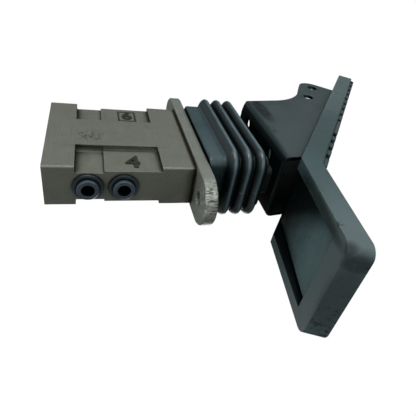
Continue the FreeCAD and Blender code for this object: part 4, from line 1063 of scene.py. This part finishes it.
    def build(self, shop: FinishShop) -> bpy.types.Object:
        """Builds the boot in place of the model's bellows.

        Args:
            shop: the materials.

        Returns:
            The boot.
        """
        rows = [self.loop(*section) for section in self.sections()]
        count = len(rows[0])
        points = [point for row in rows for point in row]
        faces = []
        for index in range(len(rows)):
            above = (index + 1) % len(rows)
            for step in range(count):
                after = (step + 1) % count
                faces.append((index * count + step, index * count + after,
                              above * count + after, above * count + step))
        boot = mesh_object("bellows_boot", points, faces)
        self.rib_tree().run(boot, shop.material("bellows_rubber"), smooth=True)
        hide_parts("bellows")
        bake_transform(boot)
        LOG.info("bellows_boot: %d faces", len(boot.data.polygons))
        return boot


@dataclass(frozen=True)
class SpringPlace:
    """Where one helical spring stands and what moves its two ends."""

    name: str
    node: str
    plunger: str
    x_mm: float
    low_mm: float
    high_mm: float
    still_mm: float


@dataclass(frozen=True)
class CoilSpring:
    """A compression spring of round wire, wound by a geometry tree."""

    radius_mm: float
    wire_mm: float
    coils: int
    end_turns: float = 1.0
    steps_per_turn: int = 20
    wire_sides: int = 8

    def coil_tree(self, length_mm: float) -> ShapeTree:
        """The tree that winds the wire: close at both ends, open between them.

        Args:
            length_mm: the spring's length over its end turns.

        Returns:
            The tree, which needs no geometry going in.
        """
        shape = ShapeTree(
            "wind_spring",
            {
                "Radius": self.radius_mm * MM, "Wire radius": self.wire_mm / 2 * MM, "Length": length_mm * MM,
                "End turns": self.end_turns, "Turns": self.coils + 2 * self.end_turns,
            },
            {"Steps per turn": self.steps_per_turn, "Wire sides": self.wire_sides},
        )
        given = shape.given
        radius, turns, end_turns = given["Radius"], given["Turns"], given["End turns"]
        spiral = shape.add(Kind.SPIRAL, given["Steps per turn"], turns, radius, radius, 0.0)
        turn = shape.product(shape.add(Kind.SHARE_ALONG), turns)
        wire = shape.product(given["Wire radius"], 2.0)
        both_ends = shape.product(end_turns, 2.0)
        live_turns = shape.add(Kind.LESS, turns, both_ends)
        room = shape.add(Kind.LESS, given["Length"], wire)
        live_rise = shape.add(Kind.LESS, room, shape.product(wire, both_ends))
        low_part = shape.add(Kind.SMALLER, turn, end_turns)
        past_low = shape.add(Kind.LARGER, shape.add(Kind.LESS, turn, end_turns), 0.0)
        middle = shape.add(Kind.SMALLER, past_low, live_turns)
        high_part = shape.add(Kind.LESS, past_low, middle)
        ends = shape.product(shape.add(Kind.ADD, low_part, high_part), wire)
        open_part = shape.product(shape.add(Kind.OVER, middle, live_turns), live_rise)
        height = shape.add(Kind.ADD, shape.add(Kind.ADD, ends, open_part), given["Wire radius"])
        wound = shape.add(Kind.SHIFTED, spiral, shape.add(Kind.POINT, 0.0, 0.0, height))
        section = shape.add(Kind.CIRCLE, given["Wire sides"], given["Wire radius"])
        shape.finish(shape.add(Kind.SWEPT, wound, section, True))
        return shape

    def build(self, shop: FinishShop, place: SpringPlace) -> bpy.types.Object:
        """Winds one spring at its place.

        Args:
            shop: the materials.
            place: where it stands, the node that it stands for and its plunger's body.

        Returns:
            The spring, in its place in the model's frame.
        """
        spring = mesh_object(place.name, [], [])
        self.coil_tree(place.high_mm - place.low_mm).run(spring, shop.material("spring_steel"), smooth=True)
        spring.data.transform(Matrix.Translation(Vector((place.x_mm, 0, place.low_mm)) * MM))
        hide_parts(place.node)
        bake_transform(spring)
        LOG.info("%s: %d faces", place.name, len(spring.data.polygons))
        return spring


@dataclass(frozen=True)
class SpringSet:
    """The springs under the two plungers: a wide one back to the housing and a small one to the spool."""

    plunger_x_mm: float = 27.0
    wide: CoilSpring = CoilSpring(6.9, 1.5, 4)
    small: CoilSpring = CoilSpring(4.0, 1.2, 5)
    wide_span_mm: tuple[float, float] = (-61.95, -37.65)
    small_span_mm: tuple[float, float] = (-54.55, -24.05)
    # The small spring's foot follows the spool, by a fifth of the plunger's travel; this point lies below it
    small_still_mm: float = -66.9

    def build(self, shop: FinishShop) -> None:
        """Builds the four springs."""
        low = self.wide_span_mm[0]
        kinds = (
            ("return", self.wide, self.wide_span_mm, low),
            ("control", self.small, self.small_span_mm, self.small_still_mm),
        )
        for side, x in (("heel", self.plunger_x_mm), ("toe", -self.plunger_x_mm)):
            for kind, spring, span, still in kinds:
                node = f"{kind}_spring_{side}"
                place = SpringPlace(node + "_wound", node, f"plunger_{side}_body", x, *span, still)
                spring.build(shop, place)


@dataclass(frozen=True)
class StudBand:
    """One band of stud rows: its first row's place along the tread, pitch, number and stud length."""

    label: str
    first_mm: float
    pitch_mm: float
    rows: int
    length_mm: float


@dataclass
class StudPad:
    """The rubber pad let into the toe tread: a thin sheet with bands of square studs."""

    toe_angle_deg: float = 36.6
    side_mm: float = 2.0
    start_mm: float = 3.2
    end_mm: float = 240.7
    half_width_mm: float = 37.8
    low_mm: float = 13.9
    sheet_mm: float = 15.3
    top_mm: float = 18.5
    # How far the studs reach down into the sheet, and how wide their tops are against their feet
    sunk_mm: float = 0.2
    stud_top_share: float = 0.88
    column_pitch_mm: float = 16.2
    columns: int = 5
    stud_width_mm: float = 11.0
    plain_mm: tuple[float, float] = (66.8, 95.7)
    bands: tuple[StudBand, ...] = (
        StudBand("First", 9.9, 17.0, 1, 13.4),
        StudBand("Lower", 27.25, 14.5, 3, 7.9),
        StudBand("Upper", 107.5, 17.0, 8, 10.4),
        StudBand("End", 239.5, 17.0, 1, 2.2),
    )

    def place(self) -> Matrix:
        """From the tread's own directions (along the toe, to the side, out of the tread) to the model's."""
        angle = math.radians(self.toe_angle_deg)
        along = Vector((-math.cos(angle), 0.0, math.sin(angle)))
        out = Vector((math.sin(angle), 0.0, math.cos(angle)))
        turned = Matrix((along, out.cross(along), out)).transposed().to_4x4()
        corner = Vector((TREAD_CORNER_X_MM, self.side_mm, TREAD_CORNER_Z_MM)) * MM
        return Matrix.Translation(corner) @ turned

    def slab(
        self, ends: tuple[float, float], half_width: float, levels: tuple[float, float]
    ) -> tuple[list, list]:
        """A plain block along the tread.

        Args:
            ends: where it starts and ends along the tread, in millimetres.
            half_width: half its width.
            levels: its lower and upper side.

        Returns:
            Its points in metres and its faces.
        """
        start, end = ends
        round_trip = ((start, -half_width), (end, -half_width), (end, half_width), (start, half_width))
        points = [Vector((x, y, z)) * MM for z in levels for x, y in round_trip]
        faces = [(3, 2, 1, 0), (4, 5, 6, 7), (0, 1, 5, 4), (1, 2, 6, 5), (2, 3, 7, 6), (3, 0, 4, 7)]
        return points, faces

    def stud_tree(self) -> ShapeTree:
        """The tree that lays bands of blocks with slightly smaller tops on the sheet.

        Returns:
            The tree, ready to run on the sheet.
        """
        height = self.top_mm - self.sheet_mm + self.sunk_mm
        sizes = {
            "Stud width": self.stud_width_mm * MM, "Stud height": height * MM,
            "Column pitch": self.column_pitch_mm * MM,
            "Level": (self.sheet_mm - self.sunk_mm + height / 2) * MM,
        }
        counts = {"Columns": self.columns}
        for band in self.bands:
            middle = band.first_mm + band.pitch_mm * (band.rows - 1) / 2
            sizes[band.label + " middle"] = middle * MM
            sizes[band.label + " pitch"] = band.pitch_mm * MM
            sizes[band.label + " length"] = band.length_mm * MM
            counts[band.label + " rows"] = band.rows
        shape = ShapeTree("lay_studs", sizes, counts)
        joined = shape.given["Geometry"]
        for band in self.bands:
            joined = shape.add(Kind.JOINED, joined, self._band(shape, band.label))
        shape.finish(joined)
        return shape

    def _band(self, shape: ShapeTree, label: str) -> Socket:
        """One band: a grid of points with a tapered block on each.

        Args:
            shape: the pad's tree.
            label: the band's name in the tree's inputs.

        Returns:
            The band's blocks, in their place on the sheet.
        """
        given = shape.given
        rows, columns = given[label + " rows"], given["Columns"]
        size = shape.add(Kind.POINT, given[label + " length"], given["Stud width"], given["Stud height"])
        position = shape.add(Kind.POSITION)
        is_top = shape.add(Kind.IS_MORE, shape.add(Kind.Z_OF, position), 0.0)
        narrowed = shape.add(Kind.VECTOR_TIMES, position, (self.stud_top_share, self.stud_top_share, 1.0))
        tapered = shape.add(Kind.PLACED, shape.add(Kind.BLOCK, size), is_top, narrowed)
        length = shape.product(given[label + " pitch"], shape.add(Kind.LESS, rows, 1))
        width = shape.product(given["Column pitch"], shape.add(Kind.LESS, columns, 1))
        studs = shape.add(Kind.REPEATED, shape.add(Kind.GRID, length, width, rows, columns), tapered)
        shift = shape.add(Kind.POINT, given[label + " middle"], 0.0, given["Level"])
        return shape.add(Kind.MOVED, studs, shift)

    def build(self, shop: FinishShop) -> bpy.types.Object:
        """Builds the sheet, its plain block and its studs as one piece on the pedal.

        Args:
            shop: the materials.

        Returns:
            The pad.
        """
        reach = ((self.columns - 1) * self.column_pitch_mm + self.stud_width_mm) / 2
        points, faces = self.slab(
            (self.start_mm, self.end_mm), self.half_width_mm, (self.low_mm, self.sheet_mm))
        more, walls = self.slab(self.plain_mm, reach, (self.sheet_mm - self.sunk_mm, self.top_mm))
        faces += [tuple(corner + len(points) for corner in wall) for wall in walls]
        pad = mesh_object("stud_sheet", points + more, faces)
        self.stud_tree().run(pad, shop.material("pad_rubber"))
        pad.data.transform(self.place())
        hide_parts("stud_pad")
        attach(pad, "pedal")
        LOG.info("stud_sheet: %d faces", len(pad.data.polygons))
        return pad


@dataclass
class CastNumber:
    """A raised port number in a side pocket of the housing, with or without a square frame."""

    text: str
    centre_x_mm: float
    centre_z_mm: float
    size_mm: float
    height_mm: float = 0.7
    frame_mm: tuple[float, float] | None = None
    frame_bar_mm: float = 1.1
    frame_lower_mm: float = 0.25
    pocket_depth_mm: float = 3.4
    # How much fatter the strokes are than the font's, how round their edges are, and how far the
    # number is sunk into the pocket's floor
    swell_mm: float = 0.25
    round_mm: float = 0.15
    sunk_mm: float = 0.1
    curve_steps: int = 4

    def build(self, shop: FinishShop) -> bpy.types.Object:
        """Builds the number so that it reads up the valve, lying on the pocket's floor.

        Args:
            shop: the materials.

        Returns:
            The raised number, on the valve body.
        """
        points, faces = self._glyph()
        if self.frame_mm:
            bars, walls = self._frame(*self.frame_mm)
            faces += [tuple(corner + len(points) for corner in wall) for wall in walls]
            points += bars
        piece = mesh_object("number_" + self.text, points, faces)
        floor_y = -(HOUSING_HALF_WIDTH_MM - self.pocket_depth_mm) * MM
        middle_y = floor_y - self.height_mm * MM / 2 + self.sunk_mm * MM
        turned = Matrix(((0, -1, 0), (0, 0, -1), (1, 0, 0))).to_4x4()
        spot = Vector((self.centre_x_mm * MM, middle_y, self.centre_z_mm * MM))
        piece.data.transform(Matrix.Translation(spot) @ turned)
        shop.dress(piece, "cast_number")
        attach(piece, "valve_body")
        LOG.info("%s: raised %.1f mm", piece.name, self.height_mm)
        return piece

    def _glyph(self) -> tuple[list[Vector], list[tuple[int, ...]]]:
        """The numeral as a closed mesh.

        Returns:
            Its points in metres and its faces.
        """
        curve = bpy.data.curves.new("number_curve", "FONT")
        curve.body = self.text
        curve.size = self.size_mm * MM
        curve.align_x = "CENTER"
        curve.align_y = "CENTER"
        curve.extrude = self.height_mm * MM / 2
        curve.offset = self.swell_mm * MM
        curve.bevel_depth = self.round_mm * MM
        curve.resolution_u = self.curve_steps
        holder = bpy.data.objects.new("number_holder", curve)
        bpy.context.scene.collection.objects.link(holder)
        bpy.context.view_layer.update()
        graph = bpy.context.evaluated_depsgraph_get()
        glyph = bpy.data.meshes.new_from_object(holder.evaluated_get(graph))
        points = [vertex.co.copy() for vertex in glyph.vertices]
        faces = [tuple(face.vertices) for face in glyph.polygons]
        bpy.data.objects.remove(holder)
        bpy.data.curves.remove(curve)
        bpy.data.meshes.remove(glyph)
        return points, faces

    def _frame(self, wide: float, high: float) -> tuple[list[Vector], list[tuple[int, ...]]]:
        """Four thin bars round the number as one closed ring.

        Args:
            wide: the ring's outer width in millimetres.
            high: its outer height.

        Returns:
            Its points in metres and its faces.
        """
        levels = (-self.height_mm / 2, self.height_mm / 2 - self.frame_lower_mm)
        points = [
            Vector((sign_x * (wide / 2 - inset), sign_y * (high / 2 - inset), level)) * MM
            for inset in (0.0, self.frame_bar_mm)
            for level in levels
            for sign_x, sign_y in ((-1, -1), (1, -1), (1, 1), (-1, 1))
        ]
        # The rings of four points, in order round the bar's section
        rings = (0, 4, 12, 8)
        faces = []
        for step, ring in enumerate(rings):
            following = rings[(step + 1) % len(rings)]
            for side in range(4):
                after = (side + 1) % 4
                faces.append((ring + side, ring + after, following + after, following + side))
        return points, faces


@dataclass(frozen=True)
class Softbox:
    """One square softbox: its place and size in metres and its power in watts."""

    name: str
    place: Triple
    size: float
    power: float


@dataclass
class Studio:
    """A pale floor, a white surround and soft lights."""

    floor_z_mm: float = -650.0
    floor_half_mm: float = 6000.0
    floor_colours: tuple[str, str] = ("f4f4f3", "ececeb")
    floor_roughness: float = 0.6
    mottle_mm: float = 60.0
    floor_glow: float = 0.95
    white: str = "ffffff"
    surround_strength: float = 0.1
    target: Triple = (0.02, 0.0, 0.04)
    lights: tuple[Softbox, ...] = (
        Softbox("key_softbox", (0.14, -1.15, -0.12), 0.45, 10.8),
        Softbox("heel_softbox", (1.10, -0.50, -0.05), 0.6, 3.6),
        Softbox("low_softbox", (-0.28, -0.80, -0.50), 0.3, 1.2),
        Softbox("tread_softbox", (0.60, -0.75, 0.70), 0.4, 2.6),
        Softbox("toe_softbox", (-0.70, -0.80, 0.60), 0.4, 1.6),
        Softbox("back_softbox", (-0.40, 1.10, 0.25), 0.6, 5.0),
        Softbox("top_softbox", (0.10, 0.15, 1.30), 0.6, 3.5),
    )

    def build(self) -> None:
        """Builds the floor, the surround and the lights."""
        self._floor()
        self._surround()
        for softbox in self.lights:
            self._light(softbox)

    def _floor(self) -> None:
        """Builds a pale matt floor, faintly mottled, that keeps the valve's shadow."""
        half = self.floor_half_mm
        corners = [
            Vector((x * half, y * half, self.floor_z_mm)) * MM
            for x, y in ((-1, -1), (1, -1), (1, 1), (-1, 1))
        ]
        floor = mesh_object("studio_floor", corners, [(0, 1, 2, 3)])
        paper = Paint("pale_studio_paper")
        mottle = paper.add(Kind.NOISE, paper.place, per_mm(self.mottle_mm), *Noise.PAPER.value)
        first, second = self.floor_colours
        colour = paper.add(Kind.MIX, mottle, linear(first), linear(second))
        matt = paper.add(Kind.MATT, colour, self.floor_roughness)
        strength = paper.product(paper.add(Kind.CAMERA_RAY), self.floor_glow)
        glow = paper.add(Kind.GLOW, linear(self.white), strength)
        paper.add(Kind.MATERIAL_END, paper.add(Kind.TOGETHER, matt, glow))
        floor.data.materials.append(paper.material)

    def _surround(self) -> None:
        """Builds a world that is white where the camera sees it and softer as light."""
        world = bpy.data.worlds.new("white_surround")
        world.use_nodes = True
        sky = Tree(world.node_tree)
        shown = sky.add(Kind.LARGER, sky.add(Kind.CAMERA_RAY), sky.add(Kind.TRANSMISSION_RAY))
        strength = sky.add(Kind.LARGER, shown, self.surround_strength)
        sky.add(Kind.WORLD_END, sky.add(Kind.BACKGROUND, linear(self.white), strength))
        bpy.context.scene.world = world

    def _light(self, softbox: Softbox) -> None:
        """A softbox that faces the valve and isn't seen itself.

        Args:
            softbox: its place, size and power.
        """
        data = bpy.data.lights.new(softbox.name, "AREA")
        data.shape = "SQUARE"
        data.size = softbox.size
        data.energy = softbox.power
        light = bpy.data.objects.new(softbox.name, data)
        light.location = softbox.place
        light.rotation_euler = (Vector(self.target) - light.location).to_track_quat("-Z", "Y").to_euler()
        light.visible_camera = False
        bpy.context.scene.collection.objects.link(light)


@dataclass(frozen=True)
class PhotoView:
    """The photograph's camera, as fitted to the edges of the housing, flange, bracket and treads."""

    place: Triple = (0.26625, -0.15331, -0.07101)
    looks: Triple = (-0.74663, 0.59655, 0.29439)
    up: Triple = (-0.62058, -0.78400, 0.01479)
    picture_px: int = 416
    focal_px: float = 375.08
    sensor_mm: float = 36.0
    near_limit: float = 0.01

    def build(self) -> bpy.types.Object:
        """Builds the camera and makes it the scene's."""
        data = bpy.data.cameras.new("photo_camera")
        data.sensor_width = self.sensor_mm
        data.lens = self.focal_px / self.picture_px * self.sensor_mm
        data.clip_start = self.near_limit
        camera = bpy.data.objects.new("photo_camera", data)
        back = -Vector(self.looks).normalized()
        right = Vector(self.up).cross(back).normalized()
        turned = Matrix((right, back.cross(right), back)).transposed().to_4x4()
        camera.matrix_world = Matrix.Translation(Vector(self.place)) @ turned
        bpy.context.scene.collection.objects.link(camera)
        bpy.context.scene.camera = camera
        return camera


def main() -> None:
    """Loads the model, dresses it, adds the scene's own pieces and sets the stage."""
    logging.basicConfig(level=logging.INFO, format="%(name)s %(message)s")
    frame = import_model()
    shop = FinishShop(ValveFinishes())
    shop.dress_nodes(frame)
    Bellows().build(shop)
    SpringSet().build(shop)
    StudPad().build(shop)
    CastNumber("4", 37.5, -43.4, size_mm=20.3).build(shop)
    CastNumber("6", -36.0, -42.2, size_mm=17.6, height_mm=0.6, frame_mm=(14.5, 17.5)).build(shop)
    Studio().build()
    PhotoView().build()
    bpy.context.scene.view_settings.view_transform = "Standard"


if __name__ == "__main__":
    main()
